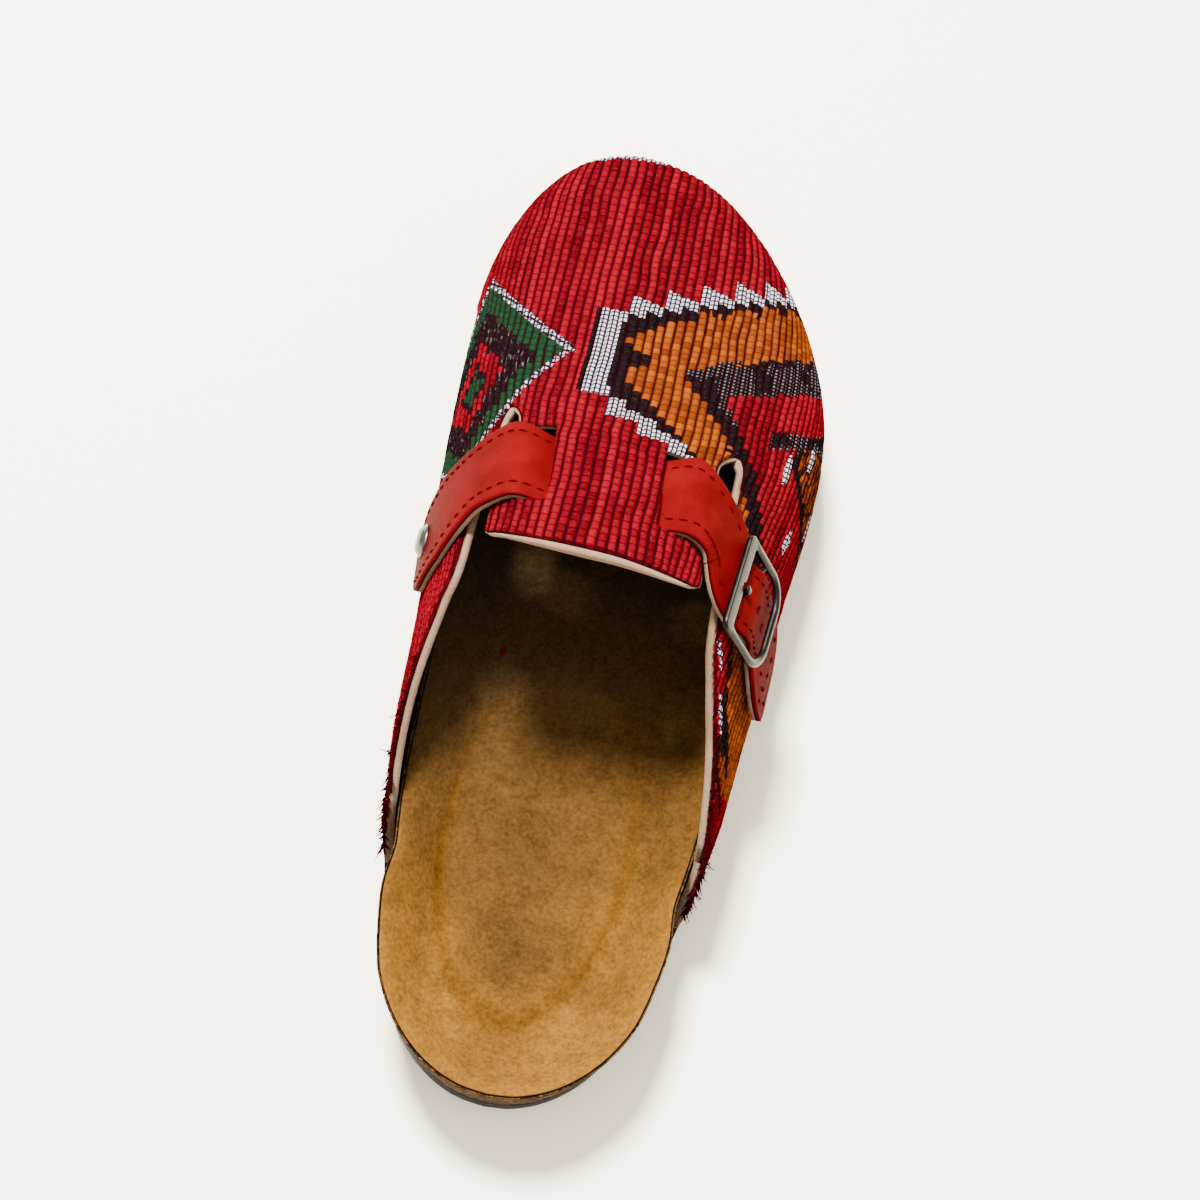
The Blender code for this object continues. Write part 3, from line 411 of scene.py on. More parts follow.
def tread_scales(points):
    """0 in the grooves and up to 1 on the scales. Space is cut into cells about jittered
    middles. Each point reads its distance to the two nearest, and every scale leans,
    so that its forward edge overlaps the next."""
    spot = points / (SCALE_WIDE, SCALE_LONG, SCALE_WIDE)
    cell = np.floor(spot).astype(int)
    jitter = np.random.default_rng(47).uniform(0.12, 0.88, (32, 64, 16, 3))
    best = np.full((2, len(points)), 9.0)
    lean = np.zeros(len(points))
    for i in (-1, 0, 1):
        for j in (-1, 0, 1):
            for k in (-1, 0, 1):
                at = cell + (i, j, k)
                middle = at + jitter[at[:, 0] % 32, at[:, 1] % 64, at[:, 2] % 16]
                away = spot - middle
                far = np.linalg.norm(away, axis=1)
                nearer = far < best[0]
                best[1] = np.where(nearer, best[0], np.minimum(best[1], far))
                lean = np.where(nearer, away[:, 1] * 0.6 + away[:, 0] * 0.3, lean)
                best[0] = np.where(nearer, far, best[0])
    groove = ramp(best[1] - best[0], 0.02, 0.26)
    return groove * np.clip(0.72 + lean * 0.8, 0.25, 1.0)


def outsole_shape():
    """Loops from the middle of the top, over band and scaled side, to the
    underside's middle."""
    y = LOOP[:, 1]
    bottom, top = sole_bottom(y), sole_top(y)
    band_foot = np.maximum(top - BAND_DROP, bottom + LUG_DEPTH + 1.2)
    spine_top = sole_top(np.clip(y, SPINE_FROM, SPINE_TO))
    loops = [level(ring(-0.6, 0.0), spine_top), level(ring(-0.6, 0.6), sole_top),
             level(ring(-0.6), top), level(ring(-0.15), top - 0.12), level(ring(0), top - 0.6)]
    loops += [level(ring(0.0), top - 0.6 + (band_foot - top + 0.6) * share)
              for share in (0.33, 0.66, 1)]
    loops += [level(ring(-0.25), band_foot - 0.3), level(ring(-0.9), band_foot - 0.5)]
    for share in np.linspace(0.0, 1.0, 9):
        flat = level(ring(-1.1), band_foot - 0.7 + (bottom + 0.5 - band_foot + 0.7) * share)
        fade = (1 - 0.35 * share**4) * min(1, share * 5 + 0.3)
        out = -1.5 + SCALE_RELIEF * tread_scales(flat) * fade
        loops.append(level(ring(out), flat[:, 2]))
    for share in 1 - np.linspace(0.0, 1.0, 40)[1:]:
        flat = level(ring(-1.5, share), bottom)
        under = sole_bottom(flat[:, 1])
        raised = tread_scales(np.column_stack((flat[:, :2], under)))
        roof = LUG_DEPTH * (1 - ramp(raised, 0.05, 0.55)) + 0.25 * (1 - raised)
        loops.append(level(flat[:, :2], under + roof * ramp(1 - share, 0.0, 0.02)))
    return stack(loops)


def rubber_material():
    """Matte above the step, and glossier on the moulded scales below it."""
    look = Look("black_rubber", (0.0022, 0.0024, 0.0034), 0.5, Specular_IOR_Level=0.05)
    place_mm = look.place_mm()
    _, y, z = look.split(place_mm)
    grain = look.noise(place_mm, 2.2, 4.0)
    cloud = look.noise(place_mm, 0.08, 3.0)
    paint = look.mix(cloud, (0.001628, 0.001924, 0.002664), (0.003552, 0.0037, 0.004588))
    look.colour(look.shade(paint, grain * 0.4 + 0.8))
    toe_spring = (y + LENGTH / 2 - 178.0).most(0.0) * 0.158
    band = (z - toe_spring).ramp(2.6, 6.4)
    look.rough(band * 0.26 + grain * 0.14 + 0.24)
    look.bump(grain, 0.12, 0.5)
    return look.material


outsole = add_piece("outsole_tread", *outsole_shape(), rubber_material(), "outsole", ("outsole",))
weld(outsole, 1e-4)


# ---------------------------------------------------------------- cork footbed
# Pressed cork granules of two browns, ground to shape and glued on the outsole. It is
# bare at the heel, where its top edge is rubbed round, and the upper hides it further
# on.

GAP = 0.3                 # air between touching pieces

# Footbed. Columns: distance from the heel, floor, medial rim, lateral rim.
FOOTBED_ROWS = (
    (0, 26.5, 34.6, 34.6), (30, 24.0, 35.6, 35.6), (58, 24.6, 37.6, 37.0),
    (75, 25.6, 37.0, 34.4), (90, 25.8, 35.4, 32.6), (120, 24.2, 31.6, 30.4),
    (150, 21.8, 28.6, 28.2), (180, 21.2, 27.0, 26.8), (210, 23.4, 28.0, 28.0),
    (240, 26.6, 30.0, 30.0), (264, 29.0, 31.6, 31.6),
)
INSOLE_THICK = 1.5
# How far the cork's rim and foot stand out from the outsole's outline: bare at the
# heel, then tucked in beside the upper's wall. Columns: distance from the heel, out.
CORK_RIM_OUT = ((32, 2.2), (45, 0.8), (56.5, -2.75), (72, -3.1), (265, -3.1))
CORK_FOOT_OUT = ((40, 0.0), (55.5, -3.1), (265, -3.1))
INSOLE_EDGE_IN = 0.7      # how far the insole's edge stands in from the cork's rim


def soft_noise(x, y, seed):
    """Smooth noise from -1 to 1 over a lattice of unit cells, the same on every run."""
    grid = np.random.default_rng(seed).uniform(-1, 1, (64, 64))
    i, j = np.floor(x).astype(int), np.floor(y).astype(int)
    u, v = ramp(x - i, 0, 1), ramp(y - j, 0, 1)
    corner = [grid[(i + di) % 64, (j + dj) % 64] for di in (0, 1) for dj in (0, 1)]
    return ((corner[0] * (1 - v) + corner[1] * v) * (1 - u)
            + (corner[2] * (1 - v) + corner[3] * v) * u)


FOOTBED_SHARES = np.concatenate((np.linspace(0.0, 0.5, 9), np.linspace(0.53, 0.985, 22)))


def footbed_z(share):
    """Height of the footbed: a dished floor that rises to the rim."""
    y = LOOP[:, 1]
    side = np.where(np.arange(len(LOOP)) <= len(LOOP) // 2, 2, 3)
    rim = np.where(side == 2, smooth(y, FOOTBED_ROWS, 2), smooth(y, FOOTBED_ROWS, 3))
    floor = smooth(np.clip(y, SPINE_FROM, SPINE_TO), FOOTBED_ROWS, 1)
    floor = np.where(y > SPINE_TO, smooth(y, FOOTBED_ROWS, 1) * share + floor * (1 - share), floor)
    rise = ramp(share, 0.52, 1.04) ** 1.25
    return floor + (rim - floor) * rise / (ramp(1.0, 0.52, 1.04) ** 1.25)


def cork_shape():
    """Loops from the hollow under the insole, over the bare rim, down and in below."""
    y = LOOP[:, 1]
    under_insole = INSOLE_THICK + GAP
    foot = sole_top(y) + GAP
    rim = footbed_z(1.0) - under_insole
    rim_out, foot_out = smooth(y, CORK_RIM_OUT), smooth(y, CORK_FOOT_OUT)
    loops = [level(ring(rim_out, share), footbed_z(share) - under_insole)
             for share in FOOTBED_SHARES[::2]]
    # From the insole's edge the bare cork rises beside it, turns over and comes down.
    loops += [level(ring(rim_out - INSOLE_EDGE_IN + 0.32), rim + 0.1),
              level(ring(rim_out - INSOLE_EDGE_IN + 0.34), rim + under_insole - 0.5),
              level(ring(rim_out - 0.14), rim + under_insole - 0.25),
              level(ring(rim_out), rim + under_insole - 0.9)]
    for share in np.linspace(0.08, 0.96, 12):
        wall = rim_out + (foot_out - rim_out) * share
        height = (rim + under_insole - 1.2) * (1 - share) + (foot + 0.3) * share
        wall = wall + 0.10 * soft_noise(np.arange(len(y)) * 0.55, height * 0.6, 31)
        loops.append(level(ring(wall), height))
    loops += [level(ring(foot_out - 0.3), foot), level(ring(foot_out, 0.6), foot),
              level(ring(foot_out, 0.0), sole_top(np.clip(y, SPINE_FROM, SPINE_TO)) + GAP)]
    return stack(loops)


def cork_material():
    """Granules of two browns from random cells, with light and dark specks."""
    look = Look("pressed_cork", (0.0222, 0.0111, 0.00444), 0.85, Specular_IOR_Level=0.03)
    place_mm = look.place_mm()
    grain = look.cells(place_mm, 0.62, "Color")
    tiny = look.cells(place_mm, 1.5)
    cloud = look.noise(place_mm, 0.8, 4.0)
    paint = look.mix(grain.ramp(0.25, 0.75), (0.00888, 0.004588, 0.00222),
                     (0.0444, 0.02146, 0.00814))
    paint = look.mix(cloud.above(0.60), paint, (0.0851, 0.04144, 0.0148))
    paint = look.mix((tiny + cloud).below(0.55), paint, (0.0037, 0.002072, 0.001332))
    look.colour(paint)
    look.bump(grain * 0.5 + cloud * 0.6, 0.3, 0.8)
    return look.material


cork = add_piece("cork_body", *cork_shape(), cork_material(), "cork", ("cork_footbed",))
weld(cork, 1e-4)


# ---------------------------------------------------------------- insole
# Tan suede glued over the cork. It is worn smooth and darker in the hollow where the
# foot rests, and a faint line runs round the heel's seat. Under the upper, towards the
# toe, painted shade darkens it.

SEAT_MIDDLE, SEAT_HALF = (-0.8, 69.0), (24.0, 48.5)   # the heel seat's oval


def seat_oval(x, y):
    """1 on the heel seat's outline, less inside it and more outside."""
    return np.hypot((x - SEAT_MIDDLE[0]) / SEAT_HALF[0], (y - SEAT_MIDDLE[1]) / SEAT_HALF[1])


def insole_shape():
    """Loops of the dished top from spine to rim, a thin edge, and the under-face."""
    y = LOOP[:, 1]
    edge = smooth(y, CORK_RIM_OUT) - INSOLE_EDGE_IN
    rim = footbed_z(1.0)
    top = [level(ring(edge, share), footbed_z(share)) for share in FOOTBED_SHARES]
    for loop in top:
        oval = seat_oval(loop[:, 0], loop[:, 1])
        loop[:, 2] -= 0.3 * np.exp(-((oval - 1.0) / 0.035) ** 2) * ramp(loop[:, 1], 124, 66)
        loop[:, 2] += 0.07 * soft_noise(loop[:, 0] * 0.25, loop[:, 1] * 0.25, 21)
    side = [level(ring(edge - 0.12), rim - 0.08), level(ring(edge), rim - 0.4),
            level(ring(edge), rim - INSOLE_THICK)]
    low = [level(ring(edge, share), footbed_z(share) - INSOLE_THICK)
           for share in FOOTBED_SHARES[::-3]]
    return stack(top + side + low)


def suede_material():
    """Napped hide: a short mottled nap, cloudy stains, polish in the hollow, and
    painted shade towards the toe and the medial side, under the upper.
    """
    look = Look("tan_suede", (0.08, 0.032, 0.003), 0.95, Specular_IOR_Level=0.0)
    place_mm = look.place_mm()
    x, y, _ = look.split(place_mm)
    y = y + LENGTH / 2
    nap = look.noise(place_mm, 0.95, 5.0, 0.65)
    cloud = look.noise(place_mm, 0.045, 4.0)
    blotch = look.noise(place_mm, 0.26, 4.0, 0.6)
    stain = look.noise(look.stretch(place_mm, (0.05, 0.02, 0.02)), 1.0, 3.0)
    seat_x, seat_y = x + MIDDLE_X - SEAT_MIDDLE[0], y - SEAT_MIDDLE[1]
    rim = seat_x.abs() / 34.0 * y.ramp(95.0, 40.0) + y.ramp(40.0, 5.0) * 0.9
    paint = look.mix((cloud * 0.8 + rim * 0.45).ramp(0.25, 0.95), (0.037, 0.0172, 0.0040),
                     (0.118, 0.0500, 0.0072))
    # Painted shade: darker towards the toe and the medial side, where the upper covers the insole.
    forward = (y + (cloud - 0.5) * 30.0 - (x + MIDDLE_X) * 0.7).ramp(46.0, 158.0)
    paint = look.mix(forward * 0.88, paint, (0.0240, 0.0140, 0.0064))
    seat_x, seat_y = seat_x / SEAT_HALF[0], seat_y / SEAT_HALF[1]
    oval = (seat_x * seat_x + seat_y * seat_y).power(0.5) + (stain - 0.5) * 0.05
    hollow = oval.ramp(1.02, 0.72) * y.ramp(150.0, 90.0)
    paint = look.mix(hollow * 0.5, paint, (0.046, 0.0210, 0.0052))
    line = oval.ramp(0.88, 1.0) * oval.ramp(1.10, 1.0) * y.ramp(125.0, 60.0)
    paint = look.mix(line * 0.5, paint, (0.04588, 0.01665, 0.001036))
    paint = look.shade(paint, nap.ramp(0.3, 0.7) * 0.5 + blotch.ramp(0.3, 0.7) * 0.3 + 0.58)
    fleck_x, fleck_y = x + MIDDLE_X + 21.0, y - 116.0
    fleck = (fleck_x * fleck_x + fleck_y * fleck_y * 0.4).below(0.8)
    look.colour(look.mix(fleck, paint, (0.0444, 0.00222, 0.00074)))
    look.rough(nap * 0.1 + 0.86)
    look.bump(nap * 0.7 + stain * 0.6, 0.35, 0.7)
    return look.material


insole = add_piece("insole_suede", *insole_shape(), suede_material(), "suede", ("insole",))
weld(insole, 1e-4)


# ---------------------------------------------------------------- upper: kilim cloth
# Woollen cloth drawn over a last and tucked in beside the footbed. Ribs run along the
# shoe and are counted across it (c). Each is a row of beads along its length (a).
# Motifs are charted in those two sizes, in millimetres.

# Upper: cross-sections that fan round the toe. Each lies in a plane through its crest
# point and its foot on the sole. flat_* and upright_* are the handles of its curve:
# how flat it leaves the crest, and how upright it comes down to the side wall.
UPPER_COLUMNS = (
    "crest_y", "crest_z", "crest_x", "foot_y", "flat_medial", "upright_medial",
    "flat_lateral", "upright_lateral", "edge_z_medial", "edge_z_lateral",
    "flap_z_medial", "flap_z_lateral",
)
UPPER_ROWS = (
    (91.6, 108.0, -3.0, 56.5, 0.70, 0.45, 0.52, 0.10, 39.5, 39.5, 87.0, 84.0),
    (98.0, 107.0, -3.0, 66.0, 0.70, 0.45, 0.54, 0.10, 52.0, 50.5, 87.0, 84.0),
    (106.0, 106.0, -3.0, 82.0, 0.70, 0.45, 0.56, 0.10, 66.0, 63.0, 87.0, 84.0),
    (112.0, 105.0, -3.0, 97.0, 0.70, 0.45, 0.56, 0.10, 74.0, 70.5, 87.0, 84.0),
    (117.0, 102.6, -3.0, 110.0, 0.70, 0.45, 0.56, 0.12, 77.0, 73.0, 87.0, 84.0),
    (133.0, 96.8, -3.6, 133.0, 0.68, 0.45, 0.57, 0.22, 76.2, 74.0, 83.2, 82.5),
    (149.0, 89.6, -4.6, 152.0, 0.64, 0.46, 0.57, 0.34, 73.6, 72.6, 78.4, 78.2),
    (158.0, 84.4, -5.4, 163.0, 0.62, 0.47, 0.57, 0.40, 70.0, 70.0, 75.6, 75.6),
    (176.0, 75.4, -7.2, 184.0, 0.60, 0.50, 0.59, 0.48, 63.5, 63.5, 66.0, 66.0),
    (194.0, 67.2, -9.0, 204.0, 0.58, 0.52, 0.60, 0.52, 57.5, 57.5, 59.6, 59.6),
    (212.0, 60.2, -10.8, 222.0, 0.58, 0.54, 0.60, 0.55, 52.5, 52.5, 54.2, 54.2),
    (231.0, 55.6, -12.0, 238.0, 0.60, 0.55, 0.60, 0.56, 49.0, 49.0, 50.6, 50.6),
    (246.0, 53.8, -12.6, 249.5, 0.60, 0.56, 0.60, 0.56, 47.5, 47.5, 49.0, 49.0),
    (255.5, 50.4, -12.6, 256.5, 0.58, 0.56, 0.58, 0.56, 44.5, 44.5, 46.0, 46.0),
    (260.8, 43.6, -12.6, 260.6, 0.56, 0.56, 0.56, 0.56, 39.4, 39.4, 40.6, 40.6),
    (264.0, 34.6, -12.6, 262.6, 0.56, 0.56, 0.56, 0.56, 32.2, 32.2, 33.0, 33.0),
    (265.2, 27.6, -12.6, 263.4, 0.56, 0.56, 0.56, 0.56, 26.6, 26.6, 26.9, 26.9),
    (263.9, 23.0, -12.6, 263.58, 0.56, 0.56, 0.56, 0.56, 22.9, 22.9, 22.95, 22.95),
)
CROWN_PART = 0.73         # share of a section above the side wall
SIDE_BULGE = 1.6          # how far the top of the side wall swells
FLAP_FROM = 4.0           # section at the flap's free rear edge
FLAP_LIFT = {MEDIAL: 11.0, LATERAL: 9.5}  # how far its rear corners stand up
FLAP_LIFT_LENGTH = 12.0   # length over which they rise
SLOT_FROM_Y, SLOT_TO_Y = 130.2, 155.4      # strap slots, along the crest
SLOT_INNER = 13.5         # from the crest line
SLOT_WIDTH = 7.4          # from its inner to its outer edge
HOLE_ROUND_FROM_Y, HOLE_TO_Y = 155.4, 163.0  # the slits end in a rounded hole

# Cloth. Lengths along the ribs are counted from the section whose crest lies here.
CLOTH_ORIGIN_Y = 158.0
RIB, BEAD = 2.5, 2.4      # width of a rib and length of a bead
RIB_RELIEF = 0.5          # height of a rib over its groove
RIB_WANDER = 0.45         # how far the ribs wander from straight
EDGE_ROUND = 0.45         # how far the sheet thins at its free edges


def upper_column(name, s):
    """One column of UPPER_ROWS, read smoothly between its sections."""
    rows = np.column_stack((np.arange(len(UPPER_ROWS)), np.asarray(UPPER_ROWS, float)))
    return smooth(s, rows, 1 + UPPER_COLUMNS.index(name))


def section_at(crest_y):
    """Number of the section whose crest lies at this distance from the heel."""
    s = np.linspace(0, 15, 1201)
    return np.interp(crest_y, upper_column("crest_y", s), s)


def upper_point(s, g):
    """The upper's outer surface. s numbers the section. g is 0 on the crest, -1 or 1 at
    the top of the medial or lateral side wall, and -2 or 2 at its foot."""
    s, g = np.broadcast_arrays(np.asarray(s, float), np.asarray(g, float))
    side = np.where(g < 0, -1.0, 1.0)
    t = np.clip(np.abs(g), 0, 1)
    down = np.clip(np.abs(g) - 1, 0, 1)
    flat = np.where(g < 0, upper_column("flat_medial", s), upper_column("flat_lateral", s))
    upright = np.where(g < 0, upper_column("upright_medial", s),
                       upper_column("upright_lateral", s))
    out = 3 * (1 - t) ** 2 * t * flat + 3 * (1 - t) * t**2 + t**3
    drop = 3 * (1 - t) * t**2 * (1 - upright) + t**3
    drop = CROWN_PART * drop + (1 - CROWN_PART) * down
    foot_y = upper_column("foot_y", s)
    foot_x = np.where(g < 0, outline_x(foot_y, MEDIAL), outline_x(foot_y, LATERAL))
    foot_z = sole_top(foot_y) + GAP
    crest_x, crest_y = upper_column("crest_x", s), upper_column("crest_y", s)
    crest_z = upper_column("crest_z", s)
    reach = np.abs(foot_x - crest_x)
    bulge = SIDE_BULGE * np.clip(reach / 20, 0, 1) * (1 - down**2)
    x = crest_x + side * (reach + bulge) * out
    y = crest_y + (foot_y - crest_y) * drop
    z = crest_z + (foot_z - crest_z) * drop
    return np.stack((x, y, z), axis=-1)


def upper_normal(s, g, step=0.03):
    """Outward direction of the upper's surface."""
    along = upper_point(s + step, g) - upper_point(s - step, g)
    across = upper_point(s, g + step) - upper_point(s, g - step)
    normal = np.cross(across, along)
    return normal / np.maximum(np.linalg.norm(normal, axis=-1, keepdims=True), 1e-9)


def girth_tables():
    """Tables for cloth sizes: for every section, g at each girth b from the crest, and
    the length a along the ribs, counted from the section at CLOTH_ORIGIN_Y."""
    sections = np.linspace(0, 17, 681)
    g = np.linspace(0, 2, 501)
    b = np.arange(0, 130.01, 0.5)
    found = {}
    for side in (MEDIAL, LATERAL):
        points = upper_point(sections[:, None], side * np.maximum(g, 1e-9)[None, :])
        step = np.linalg.norm(np.diff(points, axis=1), axis=2)
        girth = np.concatenate((np.zeros((len(sections), 1)), np.cumsum(step, axis=1)), axis=1)
        at = np.array([np.interp(b, row, g) for row in girth])
        points = upper_point(sections[:, None], side * np.maximum(at, 1e-9))
        step = np.linalg.norm(np.diff(points, axis=0), axis=2)
        along = np.concatenate((np.zeros((1, len(b))), np.cumsum(step, axis=0)), axis=0)
        start = section_at(CLOTH_ORIGIN_Y)
        along -= np.array([np.interp(start, sections, along[:, k]) for k in range(len(b))])
        found[side] = (at, along, girth[:, -1], girth)
    return sections, b, g, found


SECTIONS, GIRTHS, G_STEPS, CLOTH = girth_tables()


def read_table(table, s, b):
    """Bilinear reading of a table over SECTIONS and GIRTHS."""
    i = np.clip(s / SECTIONS[1], 0, len(SECTIONS) - 1.001)
    j = np.clip(b / GIRTHS[1], 0, len(GIRTHS) - 1.001)
    i0, j0 = i.astype(int), j.astype(int)
    di, dj = i - i0, j - j0
    return ((table[i0, j0] * (1 - dj) + table[i0, j0 + 1] * dj) * (1 - di)
            + (table[i0 + 1, j0] * (1 - dj) + table[i0 + 1, j0 + 1] * dj) * di)


def cloth_to_g(s, b):
    """g and the rib length a at a section and a signed girth."""
    s, b = np.broadcast_arrays(np.asarray(s, float), np.asarray(b, float))
    g, a = np.empty(s.shape), np.empty(s.shape)
    for side, here in ((MEDIAL, b < 0), (LATERAL, b >= 0)):
        g[here] = side * np.maximum(read_table(CLOTH[side][0], s[here], np.abs(b[here])), 1e-9)
        a[here] = read_table(CLOTH[side][1], s[here], np.abs(b[here]))
    return g, a


def foot_girth(s, side):
    """Girth from the crest down to the foot of the side wall."""
    return np.interp(s, SECTIONS, CLOTH[side][2])


def g_to_girth(s, side, g):
    """Girth at which the given g lies, one value a section."""
    rows = np.interp(s, SECTIONS, np.arange(len(SECTIONS)))
    i = np.minimum(rows.astype(int), len(SECTIONS) - 2)
    low = np.array([np.interp(v, G_STEPS, CLOTH[side][3][k]) for v, k in zip(g, i)])
    high = np.array([np.interp(v, G_STEPS, CLOTH[side][3][k + 1]) for v, k in zip(g, i)])
    return low + (high - low) * (rows - i)


def grid_faces(rows, columns, start=0):
    """Quads of a grid of points."""
    number = start + np.arange(rows * columns).reshape(rows, columns)
    return np.stack((number[:-1, :-1], number[:-1, 1:], number[1:, 1:], number[1:, :-1]),
                    axis=-1).reshape(-1, 4)


# The flap's rear corners are round: how much narrower it starts, and over how much of a
# section.
FLAP_CORNER, FLAP_CORNER_SECTIONS = 6.5, 0.36


def warp_shift(s):
    """The ribs run straight ahead, so they lie off the crest line by this much."""
    return upper_column("crest_x", s) - upper_column("crest_x", section_at(CLOTH_ORIGIN_Y))


def heights_to_g(s, side, heights):
    """g at which each section's surface has the given height."""
    g = np.linspace(0.02, 2.0, 240)
    found = []
    for at, z in zip(s, heights):
        run = upper_point(np.full_like(g, at), side * g)[:, 2]
        found.append(np.interp(-z, -run, g))
    return np.array(found)


def edge_curves():
    """Girths of the collar edge, the flap's edge and the slot's two edges for a run of
    sections on each side. Ahead of the slits the first two close to a round end."""
    s = np.linspace(0, section_at(HOLE_TO_Y), 421)
    crest_y = upper_column("crest_y", s)
    curves = {}
    for side, name in ((MEDIAL, "medial"), (LATERAL, "lateral")):
        edge = heights_to_g(s, side, upper_column("edge_z_" + name, s))
        flap = np.minimum(heights_to_g(s, side, upper_column("flap_z_" + name, s)), edge * 0.96)
        edge_b, flap_b = g_to_girth(s, side, edge), g_to_girth(s, side, flap)
        ahead = np.clip((crest_y - HOLE_ROUND_FROM_Y) / (HOLE_TO_Y - HOLE_ROUND_FROM_Y), 0, 1)
        opening, middle = np.sqrt(1 - ahead**2), (edge_b + flap_b) / 2
        edge_b, flap_b = middle + (edge_b - middle) * opening, middle + (flap_b - middle) * opening
        corner = np.clip((s - FLAP_FROM) / FLAP_CORNER_SECTIONS, 0, 1)
        flap_b = flap_b - FLAP_CORNER * (1 - np.sqrt(1 - (1 - corner) ** 2))
        widths = []
        for width, cap in ((SLOT_INNER, 0.62), (SLOT_INNER + SLOT_WIDTH, 0.86)):
            g = np.linspace(0.0, 1.0, 160)
            girth = []
            for k, at in enumerate(s):
                run = upper_point(np.full_like(g, at), side * np.maximum(g, 1e-9))
                here = min(np.interp(width, np.abs(run[:, 0] - run[0, 0]), g), flap[k] * cap)
                girth.append(here)
            widths.append(g_to_girth(s, side, np.array(girth)))
        curves[side] = {"edge": edge_b, "flap": flap_b,
                        "slot_in": widths[0], "slot_out": widths[1]}
    return s, curves


EDGE_SECTIONS, EDGES = edge_curves()


def edge_girth(s, side, name):
    """Girth of a named free edge at each section."""
    return np.interp(s, EDGE_SECTIONS, EDGES[side][name])


def cut_sheet(rows, columns, panels):
    """A sheet of quads cut to size. rows are sections and columns rib positions. Each
    panel gives its first and last section and functions for its low and high edges."""
    keys, cells, count = [], [], 0
    for start, end, low, high in panels:
        inside = np.flatnonzero((rows >= start - 1e-9) & (rows <= end + 1e-9))
        at = np.clip(columns[None, :], low(rows[inside])[:, None], high(rows[inside])[:, None])
        keys.append(np.column_stack((np.repeat(inside, len(columns)), np.round(at.ravel() * 1e4))))
        quads = grid_faces(*at.shape, start=count)
        width = (at[:-1, 1:] - at[:-1, :-1] + at[1:, 1:] - at[1:, :-1]).ravel()
        cells.append(quads[width > 1e-4])
        count += at.size
    unique, back = np.unique(np.concatenate(keys), axis=0, return_inverse=True)
    faces = back.ravel()[np.concatenate(cells)]
    used, faces = np.unique(faces, return_inverse=True)
    unique = unique[used]
    return rows[unique[:, 0].astype(int)], unique[:, 1] / 1e4, faces.reshape(-1, 4)


def open_edges(faces):
    """Directed edges that belong to one face only."""
    corners = [np.column_stack((faces[:, k], faces[:, (k + 1) % 4])) for k in range(4)]
    edges = np.concatenate(corners)
    edges = edges[edges[:, 0] != edges[:, 1]]
    low, high = edges.min(axis=1), edges.max(axis=1)
    _, back, counts = np.unique(low * 10**7 + high, return_inverse=True, return_counts=True)
    return edges[counts[back.ravel()] == 1]


def cloth_panels(grow=0.0):
    """The upper's five panels. grow widens every free edge, for the lining's lip."""
    flap_from = FLAP_FROM - grow * 0.14
    slot_from, slot_to = section_at(SLOT_FROM_Y - grow * 1.5), section_at(SLOT_TO_Y + grow * 1.5)
    hole_to = section_at(HOLE_TO_Y)
    shift, back = warp_shift, grow * 1.2

    def flap(side, name="flap", more=grow):
        return lambda s: side * (edge_girth(s, side, name) + more) + shift(s)

    def foot(side):
        return lambda s: side * foot_girth(s, side) + shift(s)

    def collar(side):
        return lambda s: side * (edge_girth(s, side, "edge") - grow) + shift(s)

    return [
        (-grow * 0.1, hole_to, foot(MEDIAL), collar(MEDIAL)),
        (-grow * 0.1, hole_to, collar(LATERAL), foot(LATERAL)),
        (flap_from, slot_from, flap(MEDIAL), flap(LATERAL)),
        (slot_from, slot_to, flap(MEDIAL), flap(MEDIAL, "slot_out", back)),
        (slot_from, slot_to, flap(MEDIAL, "slot_in", -back), flap(LATERAL, "slot_in", -back)),
        (slot_from, slot_to, flap(LATERAL, "slot_out", back), flap(LATERAL)),
        (slot_to, hole_to, flap(MEDIAL), flap(LATERAL)),
        (hole_to, 17.0, foot(MEDIAL), foot(LATERAL)),
    ]


def cloth_rows(step, grow=0.0):
    """Sections about one step apart, with the exact ones where panels begin and end."""
    s = np.linspace(0, 17, 681)
    crest, foot = upper_point(s, 0.001), upper_point(s, 2.0)
    longest = np.maximum(np.linalg.norm(np.diff(crest, axis=0), axis=1),
                         np.linalg.norm(np.diff(foot, axis=0), axis=1))
    along = np.concatenate(([0], np.cumsum(longest)))
    rows = np.interp(np.linspace(0, along[-1], int(along[-1] / step)), along, s)
    marks = np.array([-grow * 0.1, FLAP_FROM - grow * 0.14, section_at(SLOT_FROM_Y - grow * 1.5),
                      section_at(SLOT_TO_Y + grow * 1.5), section_at(HOLE_TO_Y), 17.0])
    rows = rows[np.min(np.abs(rows[:, None] - marks[None, :]), axis=1) > 0.025]
    return np.sort(np.concatenate((rows, marks)))


def cloth_points(s, c):
    """Points on the upper's smooth surface, outward directions, girth and rib length."""
    b = c - warp_shift(s)
    b = b + RIB_WANDER * soft_noise(s * 1.9, c * 0.11, 5) * ramp(s, 0.5, 2)
    side = np.where(b < 0, MEDIAL, LATERAL)
    b = np.clip(b, -foot_girth(s, MEDIAL), foot_girth(s, LATERAL))
    g, a = cloth_to_g(s, b)
    points, normals = upper_point(s, g), upper_normal(s, g)
    # The flap's free rear corners curl up from the run of the upper.
    for flank in (MEDIAL, LATERAL):
        wide = edge_girth(s, flank, "flap")
        free = (side == flank) & (s < section_at(HOLE_TO_Y)) & (np.abs(b) <= wide + 1.3)
        ahead = (upper_column("crest_y", s) - UPPER_ROWS[4][0]) / FLAP_LIFT_LENGTH
        behind = np.clip(1 - ahead, 0, 1.1)
        lift = FLAP_LIFT[flank] * behind**1.5 * np.clip(np.abs(b) / wide, 0, 1.2) ** 1.8
        points[:, 2] += np.where(free, lift, 0)
    return points, normals, b, a


